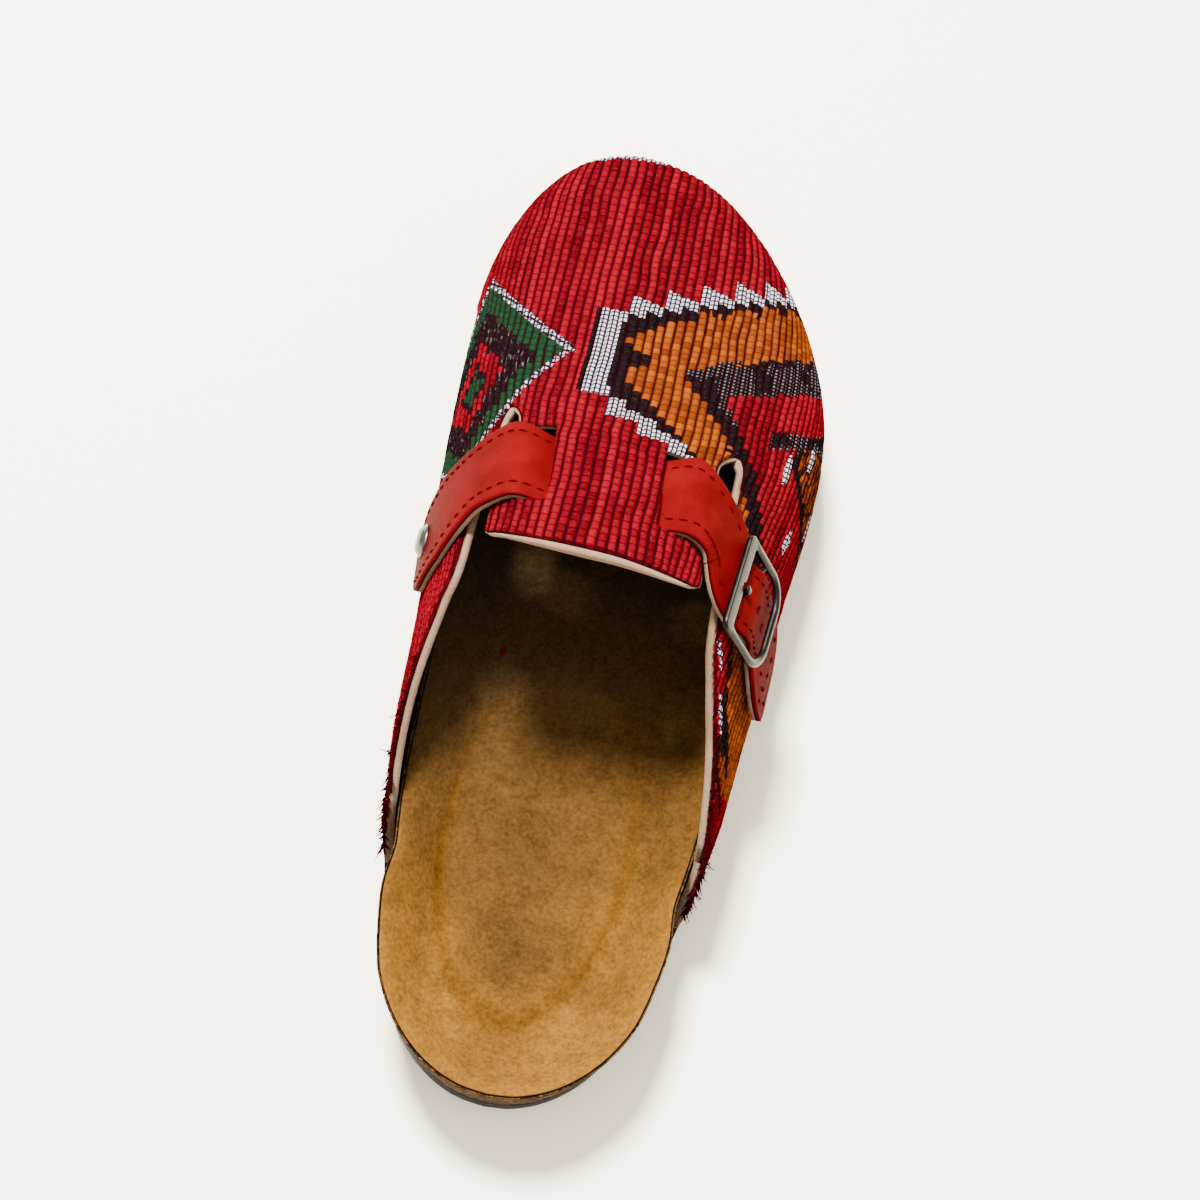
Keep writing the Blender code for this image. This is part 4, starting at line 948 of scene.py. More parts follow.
def free_edge_distance(s, b):
    """Distance in millimetres to the nearest collar, flap or slit edge, up to 20."""
    near = np.full(s.shape, 20.0)
    open_part = s < section_at(HOLE_TO_Y)
    for side in (MEDIAL, LATERAL):
        here = open_part & (np.sign(b) == side)
        for name in ("edge", "flap"):
            gap = np.abs(np.abs(b) - edge_girth(s, side, name))
            near = np.where(here, np.minimum(near, gap), near)
    on_flap = (s >= FLAP_FROM) & (np.abs(b) < edge_girth(s, MEDIAL, "flap") + 2)
    near = np.where(on_flap, np.minimum(near, (s - FLAP_FROM) * 14.0), near)
    rear = (s < 3) & (np.abs(b) > 40)
    return np.where(rear, np.minimum(near, np.maximum(s, 0) * 9.0), near)


# Dyes, as the share of each primary that they reflect. The groove colour is no dye
# but painted shade for the grooves between ribs.
RED, DEEP_RED, GROOVE_SHADE = (0.116, 0.0008, 0.0044), (0.042, 0.0004, 0.0017), (0.0058, 0.0005, 0.0012)
BLACK, GREEN = (0.0034, 0.0020, 0.0022), (0.0026, 0.0170, 0.0064)
WHITE, PALE, CORD_GAP = (0.36, 0.32, 0.35), (0.070, 0.062, 0.064), (0.012, 0.008, 0.014)
ORANGE, DEEP_ORANGE = (0.150, 0.0290, 0.0016), (0.086, 0.0135, 0.0008)
DARK_RUN = (0.010, 0.0007, 0.0014)


def weave(look, a, c):
    """Whole beads: the place of each one's middle and random numbers for rib and bead."""
    rib = (c / RIB).floor()
    start = look.random(look.vector(rib, 7.0, 1.0)) + look.noise(
        look.vector(a * 0.05, rib * 3.1, 0.0), 1.0, 1.0) * 1.4
    counted = a / BEAD + start
    bead = counted.floor()
    return {
        "a": (bead + 0.5 - start) * BEAD, "c": (rib + 0.5) * RIB, "rib": rib,
        "across": (c / RIB).fract(), "along": counted.fract(),
        "rib_chance": look.random(look.vector(rib, 0.5, 9.0)),
        "chance": look.random(look.vector(rib, bead, 2.0)),
    }


DIAMOND_A, DIAMOND_C = 16.0, -49.0         # the medial diamond's middle
DIAMOND_HEEL, DIAMOND_TOE = 37.0, 43.0     # from there to its corners along the ribs
DIAMOND_LOW, DIAMOND_HIGH = 37.0, 34.6     # and to those across them
DIAMOND_LEAN = 0.37
GABLE_A = 29.3            # middle of the lateral gable along the ribs
STAIR_C, STAIR = -3.0, 9.0                 # foot of the gable's stair, height of a step


def diamond_share(a, c):
    """0 in the middle of the medial diamond and 1 on its outline. The cloth is skewed, so
    the diamond leans towards the toe on its way up."""
    q = c - DIAMOND_C
    p = a - DIAMOND_A - q * DIAMOND_LEAN
    return ((p * (-1 / DIAMOND_HEEL)).most(p * (1 / DIAMOND_TOE))
            + (q * (-1 / DIAMOND_LOW)).most(q * (1 / DIAMOND_HIGH)))


def paint_diamond(look, paint, beads, a, c, reds):
    """Medial side: rings of green, speckled black, red and a green heart in a white rope."""
    share = diamond_share(beads["a"], beads["c"])
    fleck = look.noise(look.vector(a * 0.34, c * 1.3, 3.0), 1.0, 2.0).above(0.64)
    dark = look.mix(fleck * 0.75, BLACK, PALE)
    for limit, tone in ((0.95, GREEN), (0.71, dark), (0.42, reds), (0.225, BLACK), (0.165, GREEN)):
        paint = look.mix(share.below(limit), paint, tone)
    fine = diamond_share(a, c)
    stroke = ((a + c * 0.55) * (1 / 3.1) + beads["rib_chance"] * 0.3).fract().below(0.74)
    rope = fine.within(0.925, 1.005)
    paint = look.mix(rope, paint, BLACK)
    return look.mix(rope * stroke, paint, WHITE)


def paint_gable(look, paint, beads, a, c, reds):
    """Lateral side: white steps on black, an orange gable with leafy edges, a red heart,
    and a brown scrap of the next motif. p runs to the toe from the gable's middle."""
    rows, p = beads["c"], beads["a"] - GABLE_A
    wide, fine_wide = p.abs(), (a - GABLE_A).abs()
    heelward = p.below(0.0)
    climb = (c - STAIR_C) / STAIR
    stair, phase = climb.floor(), climb.fract()
    outer = stair * 4.9 + 25.4 + heelward * (stair - 2.0).most(0.0) * 3.4
    cut = outer - phase * 2.6 * (heelward * -1.0 + 1.0)
    stepped = c.above(STAIR_C) * fine_wide.below(cut)
    panel = stepped.either(c.within(-11.2, -2.9) * fine_wide.below(17.4))
    dotted = (c / 1.25 + 0.3).fract().above(0.62) * (a / 1.3).fract().above(0.58) * look.noise(
        look.vector(a * 0.12, c * 0.12, 8.0), 1.0, 2.0).above(0.44)
    speckled = look.mix(dotted * wide.below((rows - 15.0) * 0.9), BLACK, PALE)
    paint = look.mix(panel, paint, speckled)

    leaf = phase * -3.6 + 3.2 + (beads["rib"] * 0.5).fract() * 1.4
    toe_out = rows * 0.544 + 12.6 + leaf
    heel_out = (rows * 1.19 + 9.0).least(rows * 0.54 + 19.6) + leaf * 0.5
    leg_out = heelward * heel_out.most(15.0) + (heelward * -1.0 + 1.0) * toe_out
    leg_in = (heelward * 0.71 + 0.57) * (rows - 13.2)
    tips = rows.above((wide - 7.0).abs() * 0.95 - 1.6)
    gable = wide.below(leg_out) * wide.above(leg_in.most(0.0)) * tips * rows.below(72.0)
    paint = look.mix(gable, paint, look.mix(beads["chance"], DEEP_ORANGE, ORANGE))

    heart_toe, heart_heel = (rows - 25.5) * 0.5, (rows - 25.5) * 1.35
    heart = (p + 5.2 + heart_heel).above(0.0) * (p + 5.2 - heart_toe).below(0.0)
    paint = look.mix(heart * rows.above(25.0) * p.above(-62.0), paint, reds)
    ridge = (a - GABLE_A) + 12.7 - (c - 44.0) * 0.49
    spiky = (c * 0.45).fract() * 2.2
    below_ridge = ridge.below(-2.0) * (c - 57.0 + (ridge + 9.0).least(0.0) * 0.75).above(0.0)
    streak = look.noise(look.vector(a * 0.28, c * 0.9, 5.0), 1.0, 3.0)
    scrap = look.mix(streak.ramp(0.42, 0.60), BLACK,
                     look.mix(beads["chance"], DEEP_ORANGE, ORANGE))
    far_side = c.below(92.0) * p.above(-60.0)
    outline = ridge.below(-2.0) * (c - 54.6 + (ridge + 9.0).least(0.0) * 0.75).above(0.0)
    paint = look.mix(outline * far_side, paint, BLACK)
    paint = look.mix(below_ridge * far_side, paint, scrap)
    band = ridge.above(spiky * -1.0 - 2.4) * ridge.below(spiky + 1.2)
    band = band * c.above(43.5) * c.below(92.0)
    paint = look.mix(band, paint, look.mix(dotted, BLACK, PALE))
    for fleck_a, fleck_c, long, broad in ((10.4, 53.0, 5.2, 1.7), (19.9, 63.5, 4.4, 1.6),
                                          (-7.5, 66.5, 4.6, 1.7), (4.0, 78.0, 5.0, 1.8)):
        off = ((a - fleck_a) / long).power(2.0) + ((c - fleck_c) / broad).power(2.0)
        paint = look.mix((off + streak).below(1.35), paint, WHITE)

    bar = phase.below(0.5) * fine_wide.above(cut - 7.2)
    rise = phase.above(0.45) * fine_wide.above(cut - 3.6)
    steps = stepped * bar.either(rise) * c.below(58.0)
    block = c.within(-9.8, -4.2) * fine_wide.below(17.8)
    posts = c.within(-4.4, -2.6) * fine_wide.within(13.6, 17.8)
    return look.mix(steps.either(block).either(posts), paint, WHITE)


def paint_corners(look, paint, beads, place_mm):
    """Scraps of the neighbouring motifs at the two rear corners and round the toe."""
    x, y, z = look.split(place_mm)
    y = y + LENGTH / 2
    rear = y + (z - 20.0) * 0.12
    level_of = ((z - 4.0) / 11.5).floor()
    lean = rear - 64.0 - level_of.fract()
    step = ((z - 3.0) / 11.0).fract()
    medial = x.below(-12.0)
    upper_steps = step.within(0.18, 0.62) * rear.above(62.5)
    low_steps = step.above(0.1) * rear.above(75.5) * z.below(24.0)
    white = medial * y.below(81.5) * z.below(41.0) * upper_steps.either(low_steps)
    orange = medial * rear.below(61.5) * z.below(27.0)
    black = medial * rear.below(74.0) * z.below(41.0)
    paint = look.mix(black * lean.below(11.0), paint, BLACK)
    paint = look.mix(orange, paint, ORANGE)
    paint = look.mix(white, paint, WHITE)

    # Lateral quarter: red by the collar, a black edge, then orange with black streaks.
    ragged = (beads["rib"] * 0.5).fract() * 3.0 + beads["chance"] * 2.0
    quarter = x.above(12.0) * (y + ragged).below(119.0)
    tone = look.mix(beads["chance"], DEEP_ORANGE, ORANGE)
    limit = y * 0.30 + 31.5 + ragged * 0.6
    front = (y - ragged).above(82.0)
    paint = look.mix(quarter * front * z.below(limit), paint, BLACK)
    paint = look.mix(quarter * front * z.below(limit - 2.6), paint, tone)
    for at_y, at_z, lean_z, long, broad, dye in (
            (94.0, 53.0, 0.85, 7.0, 1.9, BLACK), (96.5, 58.6, 0.7, 6.5, 2.6, BLACK),
            (110.6, 70.2, 0.6, 3.2, 1.0, WHITE), (98.9, 62.4, 0.75, 4.2, 1.3, WHITE),
            (91.0, 33.0, 0.5, 10.0, 2.4, BLACK), (90.0, 30.6, 0.5, 8.0, 1.6, WHITE),
            (83.5, 50.5, 1.6, 5.0, 1.6, BLACK)):
        along, off = y - at_y, z - at_z - (y - at_y) * lean_z
        streak = ((along / long).power(2.0) + (off / broad).power(2.0)).below(1.0)
        paint = look.mix(quarter * streak, paint, dye)
    steps_z = z + (y * 0.12).fract() * 5.0
    paint = look.mix(quarter * steps_z.below(22.0), paint, WHITE)
    paint = look.mix(quarter * steps_z.below(17.5), paint, BLACK)

    tooth = ((z * 0.17).fract() - 0.5).abs() * 3.0 + ((x * 0.2).fract() - 0.5).abs() * 2.0
    front_y = y + tooth - (x + 12.0).most(0.0) * 0.5 - (x * -1.0 - 34.0).most(0.0) * 0.9
    paint = look.mix(z.below(50.0) * front_y.above(256.4), paint, WHITE)
    return look.mix(z.below(48.0) * front_y.above(259.6), paint, BLACK)


def kilim_material():
    """Woollen cloth: motifs painted bead by bead, then finer white cords, painted shade
    in the grooves and between beads, fibres with painted highlights on the bead crowns,
    and a relief that is highest in the middle of each bead."""
    look = Look("kilim_cloth", RED, 0.9, Specular_IOR_Level=0.0)
    a, c, edge = look.split(look.stored("cloth"))
    beads = weave(look, a, c)
    patch = look.noise(look.vector(a * 0.05, c * 0.05, 0.0), 1.0, 2.0)
    tone = (beads["rib_chance"] * 0.5 + beads["chance"] * 0.16 + patch * 0.7).ramp(0.15, 1.0)
    reds = look.mix(tone, DEEP_RED, RED)
    run_number = (a / 17.0 + beads["rib_chance"] * 5.0).floor()
    run = look.random(look.vector(beads["rib"], run_number, 4.0))
    paint = paint_diamond(look, reds, beads, a, c, reds)
    paint = paint_gable(look, paint, beads, a, c, reds)
    paint = paint_corners(look, paint, beads, look.place_mm())

    # White is woven finer than the rest: cords half as wide, crossed by dark threads.
    white = look.green_part(paint).above(0.3)
    cord = (c / (RIB / 2) + 0.25).fract().within(0.19, 0.81) * (
        a / 1.72 + beads["rib_chance"] * 0.4).fract().within(0.17, 0.83)
    paint = look.mix(white * (cord * -1.0 + 1.0), paint, CORD_GAP)

    # Painted shade darkens the grooves between ribs and the gaps between beads; here and
    # there a run of black thread fills a groove.
    # Painted highlights stand in for the light that fibres catch on each bead's crown.
    fibre = look.noise(look.vector(a * 1.5, c * 5.0, 0.0), 1.0, 3.0, 0.65)
    fuzz_and_glint = look.noise(look.vector(a * 3.4, c * 7.5, 4.0), 1.0, 2.0)
    round_rib = (beads["across"] - 0.5).abs() * 2.0
    round_bead = (beads["along"] - 0.5).abs() * 2.0
    # Painted shade in the grooves between ribs, weaker on white.
    groove = (round_rib + (fibre - 0.5) * 0.5).ramp(0.54, 0.94) * (white * -0.85 + 1.0)
    # Painted shade in the gaps between beads, taken into light below.
    between = (round_bead + (fibre - 0.5) * 0.5).ramp(0.66, 1.08) * (white * -1.0 + 1.0)
    crown = (round_rib.power(3.0) * -1.0 + 1.0) * (round_bead.power(5.0) * -0.6 + 1.0)
    light = (beads["chance"] * 0.2 + fibre * 1.25 + 0.32) * (between * -0.5 + 1.0)
    paint = look.shade(paint, light.least(white * -0.35 + 2.0).most(white * 0.8))
    # Painted highlight: pale pink flecks on the bead crowns.
    paint = look.mix(fuzz_and_glint.above(0.66) * crown * (white * -0.22 + 0.22), paint, (0.55, 0.20, 0.24))
    # Painted shade fills the grooves between ribs.
    paint = look.mix(groove * 0.9, paint, GROOVE_SHADE)
    paint = look.mix(groove * run.above(0.82), paint, DARK_RUN)
    fray = (edge + look.noise(look.vector(a * 0.8, c * 0.8, 2.0), 1.0, 2.0) * 1.6).below(1.7)
    paint = look.mix(fray * 0.75, paint, DARK_RUN)
    look.colour(paint)
    look.bump(crown * 0.75 + fibre * 0.5 + fuzz_and_glint * 0.2 + white * cord * 0.4, 0.6, 1.0)
    return look.material


def cloth_layer(name, step, column_step, outside, inside, grow, material, slot, replaces=()):
    """One layer of the upper between two depths below its smooth surface."""
    rows = cloth_rows(step, grow)
    columns = np.arange(-140.0, 140.0 + column_step, column_step)
    s, c, faces = cut_sheet(rows, columns, cloth_panels(grow))
    points, normals, b, a = cloth_points(s, c)
    rim = open_edges(faces)
    edge = free_edge_distance(s, b)
    top = np.full(s.shape, outside, float)
    ribbed = name == "upper_fabric"
    if ribbed:
        across = np.abs((c / RIB) % 1.0 - 0.5) * 2
        top += (RIB_RELIEF * (0.55 - across**2.4)) * ramp(edge, 0.0, 1.2)
        top += 0.10 * soft_noise(a * 0.45, c * 0.4, 9)
    top -= EDGE_ROUND * (1 - ramp(edge, 0.0, 1.4))
    count = len(points)
    outer, inner = points + normals * top[:, None], points + normals * inside
    sides = np.column_stack((rim[:, 1], rim[:, 0], rim[:, 0] + count, rim[:, 1] + count))
    parts = [faces, sides] if ribbed else [faces, faces[:, ::-1] + count, sides]
    values = np.column_stack((a, c, edge))
    values = np.vstack((values, values * (1, 1, 0)))
    return add_piece(name, np.vstack((outer, inner)), np.concatenate(parts), material, slot,
                     replaces, {"cloth": values})


cloth_layer("upper_fabric", 1.45, RIB / 5, 0.0, -0.75, 0.0, kilim_material(), "kilim",
            ("upper",))


# ---------------------------------------------------------------- upper: lining
# Natural leather glued behind the cloth. It stands a little proud of every free edge:
# the collar, the flap and the slots.

def lining_material():
    """Natural leather: fine pores, faint creases and worn, slightly darker patches."""
    look = Look("lining_leather", (0.1628, 0.0999, 0.0592), 0.7, Specular_IOR_Level=0.02)
    place_mm = look.place_mm()
    pores = look.cells(place_mm, 1.5)
    patch = look.noise(place_mm, 0.055, 4.0)
    paint = look.mix(patch.ramp(0.35, 0.7), (0.1258, 0.07252, 0.04144), (0.1924, 0.1258, 0.07992))
    paint = look.shade(paint, pores.ramp(0.05, 0.4) * 0.2 + 0.84)
    look.colour(paint)
    crease = look.noise(look.stretch(place_mm, (0.1, 0.5, 0.5)), 1.0, 4.0)
    look.bump(pores * 0.5 + crease * 0.8, 0.25, 0.7)
    return look.material


cloth_layer("upper_lining", 3.0, 1.5, -0.7, -2.6, 0.8, lining_material(), "kilim",
            ("upper",))


# ---------------------------------------------------------------- frayed threads
# The cloth is cut, not hemmed, so loose ends of its dark warp stick out along both rear
# edges of the upper.

SLANT = (0.31, 0.17, 0.93)  # a direction that no thread or bar follows


def tube(path, radius, sides=6):
    """Points and faces of a closed tube along a path. radius is a number or a list."""
    path = np.asarray(path, float)
    ahead = unit(np.gradient(path, axis=0))
    across = unit(np.cross(ahead, SLANT))
    up = np.cross(across, ahead)
    turn = math.tau * np.arange(sides) / sides
    turn = turn[None, :, None]
    rim = across[:, None] * np.cos(turn) + up[:, None] * np.sin(turn)
    rim = path[:, None] + rim * np.broadcast_to(radius, len(path))[:, None, None]
    points = rim.reshape(-1, 3)
    faces = loop_faces(len(path), sides).tolist()
    faces += [list(range(sides))[::-1], [(len(path) - 1) * sides + k for k in range(sides)]]
    return points, faces


def join_parts(parts):
    """One list of points and one of faces from several."""
    points, faces, start = [], [], 0
    for some_points, some_faces in parts:
        points.append(some_points)
        faces += [[start + v for v in face] for face in some_faces]
        start += len(some_points)
    return np.concatenate(points), faces


def thread_material(name, colour, dark):
    """Twisted thread: fine slanting strands."""
    look = Look(name, colour, 0.8, Specular_IOR_Level=0.0)
    place_mm = look.place_mm()
    strand = look.noise(look.stretch(place_mm, (6.0, 2.2, 6.0)), 1.0, 2.0)
    look.colour(look.mix(strand, dark, colour))
    look.bump(strand, 0.12, 0.8)
    return look.material


FRAY_LONG, FRAY_THICK = 2.6, 0.30     # longest thread, and its radius at the root


def frayed_threads(count=360):
    """Each thread is a short tapered rod that leaves the cut edge and droops: some along
    the rear of the collar, the rest down the raw rear edge to the sole."""
    chance = np.random.default_rng(83)
    t = np.linspace(0, 1, 5)
    parts = []
    for side in (MEDIAL, LATERAL):
        at_rear = chance.uniform(0, 1, count) < 0.55
        s = np.where(at_rear, 0.0, 2.0 * chance.uniform(0.0, 1.0, count) ** 1.5)
        edge = edge_girth(s, side, "edge")
        foot = foot_girth(s, side) - 1.0
        down = np.where(at_rear, chance.uniform(0, 0.8, count), 0.0)
        c = side * (edge + 0.3 + (foot - edge) * down) + warp_shift(s)
        points, normals, *_ = cloth_points(s, c)
        inner, *_ = cloth_points(s + 0.15 * at_rear, c - side * 1.5 * (1 - at_rear))
        way = points - inner
        way /= np.maximum(np.linalg.norm(way, axis=1), 1e-6)[:, None]
        turn = chance.normal(0, 0.55, (count, 3))
        long = FRAY_LONG * chance.uniform(0.25, 1.0, count)
        for point, normal, out, bend, reach in zip(points, normals, way, turn, long):
            start = point - normal * chance.uniform(0.1, 0.6) - out * 1.0
            droop = np.outer(t**2 * reach * 0.25, (0, 0, 1))
            path = (start + (out + normal * 0.35 + bend * 0.4) * (t * reach)[:, None]
                    + bend * (t**2 * reach * 0.35)[:, None] - droop)
            parts.append(tube(path, FRAY_THICK * (1.1 - 0.8 * t), 5))
    return join_parts(parts)


fray = add_piece("frayed_warp", *frayed_threads(),
                 thread_material("dark_warp", (0.0333, 0.00074, 0.00148),
                                 (0.00444, 0.00074, 0.001036)), "kilim")
weld(fray, 1e-7)


# ---------------------------------------------------------------- strap
# Red leather glued on natural leather and stitched near both edges. It is riveted on the
# medial side, dips under the flap through the two slots and ends in the buckle.

STRAP_THICK = 2.2
STRAP_END_RADIUS = 13.4   # round of its riveted end
# The strap's route. Columns: kind of point, side, its two sizes, and its height over the
# upper. "crest" gives distance from the heel and distance from the crest line, "side"
# gives distance from the heel and height.
STRAP_ROUTE = (
    ("side", MEDIAL, 125.4, 41.6, 0.45),
    ("side", MEDIAL, 127.6, 48.2, 0.45),
    ("side", MEDIAL, 130.8, 58.4, 0.45),
    ("side", MEDIAL, 135.6, 71.6, 0.80),
    ("crest", MEDIAL, 139.8, 27.0, 1.30),
    ("crest", MEDIAL, 141.7, 21.8, 1.25),
    ("crest", MEDIAL, 142.9, 13.2, -5.40),
    ("crest", MEDIAL, 143.0, 5.0, -5.50),
    ("crest", LATERAL, 143.0, 5.0, -5.50),
    ("crest", LATERAL, 142.9, 13.2, -5.40),
    ("crest", LATERAL, 141.8, 21.8, 1.25),
    ("crest", LATERAL, 138.6, 26.0, 1.6),
    ("crest", LATERAL, 132.6, 31.0, 1.4),
    ("side", LATERAL, 126.6, 76.2, 1.25),
    ("side", LATERAL, 126.0, 72.9, 1.65),
    ("side", LATERAL, 125.4, 67.4, 3.3),
    ("side", LATERAL, 124.2, 58.8, 1.2),
    ("side", LATERAL, 121.2, 50.8, 1.0),
    ("side", LATERAL, 114.0, 47.8, 1.3),
    ("side", LATERAL, 105.0, 45.4, 2.6),
)
STRAP_HOLE_AT = 14        # the route's point that has the hole for the prong
# Columns: share of the strap's length, width.
STRAP_WIDTHS = ((0.0, 26.8), (0.16, 26.8), (0.34, 23.0), (0.58, 23.0), (0.70, 20.0), (1.0, 20.0))
STRAP_TIP = 12.0          # length of its pointed free end
STRAP_SQUARE_TO = (22.5, 31.0)    # within these widths its rows turn square to the slots
STITCH_IN, STITCH_PITCH, STITCH_LONG = 3.3, 3.1, 2.3   # from the edge, apart, length
STRAP_ROUND = 0.7         # radius of its rubbed upper edges


def width_to_g(s, side, width):
    """g at which each section lies this far from its crest line."""
    g = np.linspace(0.0, 1.0, 160)
    s, width = np.broadcast_arrays(np.asarray(s, float), np.asarray(width, float))
    run = upper_point(s[..., None], side * np.maximum(g, 1e-9))[..., 0]
    far = np.abs(run - run[..., :1])
    i = np.clip((far < width[..., None]).sum(-1), 1, len(g) - 1)
    low = np.take_along_axis(far, i[..., None] - 1, -1)[..., 0]
    high = np.take_along_axis(far, i[..., None], -1)[..., 0]
    return g[i - 1] + (g[i] - g[i - 1]) * np.clip((width - low) / (high - low), 0, 1)


def locate(kind, side, y, size):
    """Section number and g of a point given by its place on the shoe."""
    s = float(section_at(y))
    if kind == "crest":
        return s, side * float(width_to_g(s, side, size))
    for _ in range(12):
        g = side * heights_to_g([s], side, [size])[0]
        s += (y - float(upper_point(s, g)[1])) / 18.0
    return s, g


def strap_route():
    """Rows along the strap: the length to each, then s, g and height over the upper.
    Rows lie close together at both ends and on both edges of the buckle's hole."""
    knots = np.array([(*locate(*row[:4]), row[4]) for row in STRAP_ROUTE])
    middle = upper_point(knots[:, 0], knots[:, 1])
    middle = middle + upper_normal(knots[:, 0], knots[:, 1]) * knots[:, 2:]
    along = length_to(middle)
    hole = along[STRAP_HOLE_AT]
    rows = np.concatenate((
        [0.0, 0.12, 0.45, 1.0], np.arange(1.9, hole - 2.2, 0.95),
        hole + np.array((-1.3, -0.45, 0.45, 1.3)), np.arange(hole + 2.2, along[-1] - 0.3, 0.95),
        [along[-1] - 0.1, along[-1]],
    ))
    columns = [smooth(rows, np.column_stack((along, knots[:, k]))) for k in range(3)]
    # A light smoothing takes the corners out of the route between its knots.
    for column in columns:
        for _ in range(6):
            column[1:-1] = (column[:-2] + 2 * column[1:-1] + column[2:]) / 4
    return rows, columns, hole


def strap_half(rows):
    """Half the strap's width: round at the riveted end, pointed at the free end."""
    total = rows[-1]
    half = np.interp(rows / total, *np.array(STRAP_WIDTHS).T) / 2
    near = np.clip(rows / STRAP_END_RADIUS, 0, 1)
    half = half * np.sqrt(np.clip(1 - (1 - near) ** 2, 0.004, 1))
    return half * (0.10 + 0.90 * np.clip((total - rows) / STRAP_TIP, 0, 1) ** 0.8)


STRAP_COLUMNS = np.array((-10, -9.88, -9.6, -9.2, -8.4, -7.2, -6, -4.8, -3.6, -2.4, -1.3, -0.45,
                          0.45, 1.3, 2.4, 3.6, 4.8, 6, 7.2, 8.4, 9.2, 9.6, 9.88, 10))


def strap_surface(rows, columns, across_mm):
    """Under-face of the strap, the outward directions, and how far it lies over the upper.
    Points go across the strap at right angles; between the slots they turn square to
    the shoe."""
    s, g, stand = columns
    half = strap_half(rows)
    normal = upper_normal(s, g)
    middle = upper_point(s, g) + normal * stand[:, None]
    across = unit(np.cross(normal, np.gradient(middle, rows, axis=0)))
    step = 0.02
    basis = np.stack(((upper_point(s + step, g) - upper_point(s - step, g)) / (2 * step),
                      (upper_point(s, g + step) - upper_point(s, g - step)) / (2 * step)), axis=-1)
    moved = (np.linalg.pinv(basis) @ across[..., None])[..., 0]
    grid_s = s[:, None] + moved[:, :1] * across_mm
    grid_g = g[:, None] + moved[:, 1:] * across_mm
    width = np.abs(upper_point(s, g)[:, 0] - upper_point(s, 0 * g)[:, 0])
    square = np.where(np.abs(g) < 1, 1 - ramp(width, *STRAP_SQUARE_TO), 0.0)[:, None]
    level_s = section_at(upper_column("crest_y", s)[:, None] + across_mm)
    level_g = np.where(g[:, None] < 0, -width_to_g(level_s, MEDIAL, width[:, None]),
                       width_to_g(level_s, LATERAL, width[:, None]))
    grid_s += (level_s - grid_s) * square
    grid_g += (level_g - grid_g) * square
    out = upper_normal(grid_s, grid_g)
    return upper_point(grid_s, grid_g) + out * stand[:, None, None], out, half


def leather_material(name, colour, dark):
    """Smooth dyed leather on a natural backing. The stored values are the length along
    it, the place across it and the depth below its face, in millimetres."""
    look = Look(name, colour, 0.5, Specular_IOR_Level=0.004)
    along, across, depth = look.split(look.stored("leather"))
    place_mm = look.place_mm()
    grain = look.cells(place_mm, 1.9)
    cloud = look.noise(place_mm, 0.09, 4.0)
    paint = look.mix(cloud.ramp(0.25, 0.8), dark, colour)
    paint = look.shade(paint, grain.ramp(0.0, 0.45) * 0.22 + 0.84)
    paint = look.mix(depth.ramp(0.25, 0.75), paint, tuple(v * 0.35 for v in dark))
    back = look.mix(look.noise(place_mm, 1.7, 3.0), (0.111, 0.06512, 0.0407),
                    (0.2072, 0.1406, 0.0999))
    paint = look.mix(depth.ramp(1.0, 1.15), paint, back)
    look.colour(paint)
    look.rough(cloud * 0.2 + grain * 0.15 + depth.ramp(0.4, 1.1) * 0.35 + 0.34)
    crease = look.noise(look.stretch(place_mm, (0.5, 0.12, 0.5)), 1.0, 4.0)
    look.bump(grain * 0.35 + crease * 0.5, 0.16, 0.6)
    return look.material


def slab(name, top, under, values, faces, material, slot, replaces):
    """A closed sheet from two matching layers of points."""
    count = len(top)
    rim = open_edges(faces)
    sides = np.column_stack((rim[:, 1], rim[:, 0], rim[:, 0] + count, rim[:, 1] + count))
    return add_piece(name, np.vstack((top, under)),
                     np.concatenate((faces, faces[:, ::-1] + count, sides)), material, slot,
                     replaces, {"leather": values})


# The strap's grid has rows along its route and columns across it.
strap_rows, strap_columns, strap_hole = strap_route()
strap_across = STRAP_COLUMNS[None, :] * (strap_half(strap_rows) / 10)[:, None]
under, out, half = strap_surface(strap_rows, strap_columns, strap_across)
# Near the hole the grid's squares are drawn into circles.
from_hole = np.repeat((strap_rows - strap_hole)[:, None], strap_across.shape[1], axis=1)
reach = np.maximum(np.abs(from_hole), np.abs(strap_across))
rounding = reach / np.maximum(np.hypot(from_hole, strap_across), 1e-6) - 1
rounding = rounding * (1 - ramp(reach, 1.3, 4))
ahead = np.gradient(under, strap_rows, axis=0)
sideways = np.gradient(under, axis=1) / np.gradient(strap_across, axis=1)[..., None]
under = under + rounding[..., None] * (from_hole[..., None] * ahead
                                       + strap_across[..., None] * sideways)

# Its upper edges are rubbed round, and each row of stitches pulls a shallow trough.
inward = np.minimum(half[:, None] - np.abs(strap_across), strap_rows[:, None])
bend = np.clip(1 - inward / STRAP_ROUND, 0, 1)
sewn = np.exp(-((inward - STITCH_IN) / 0.55) ** 2) * 0.14
top_depth = STRAP_ROUND * (1 - np.sqrt(1 - bend**2)) + sewn
top = under + out * (STRAP_THICK - top_depth)[..., None]
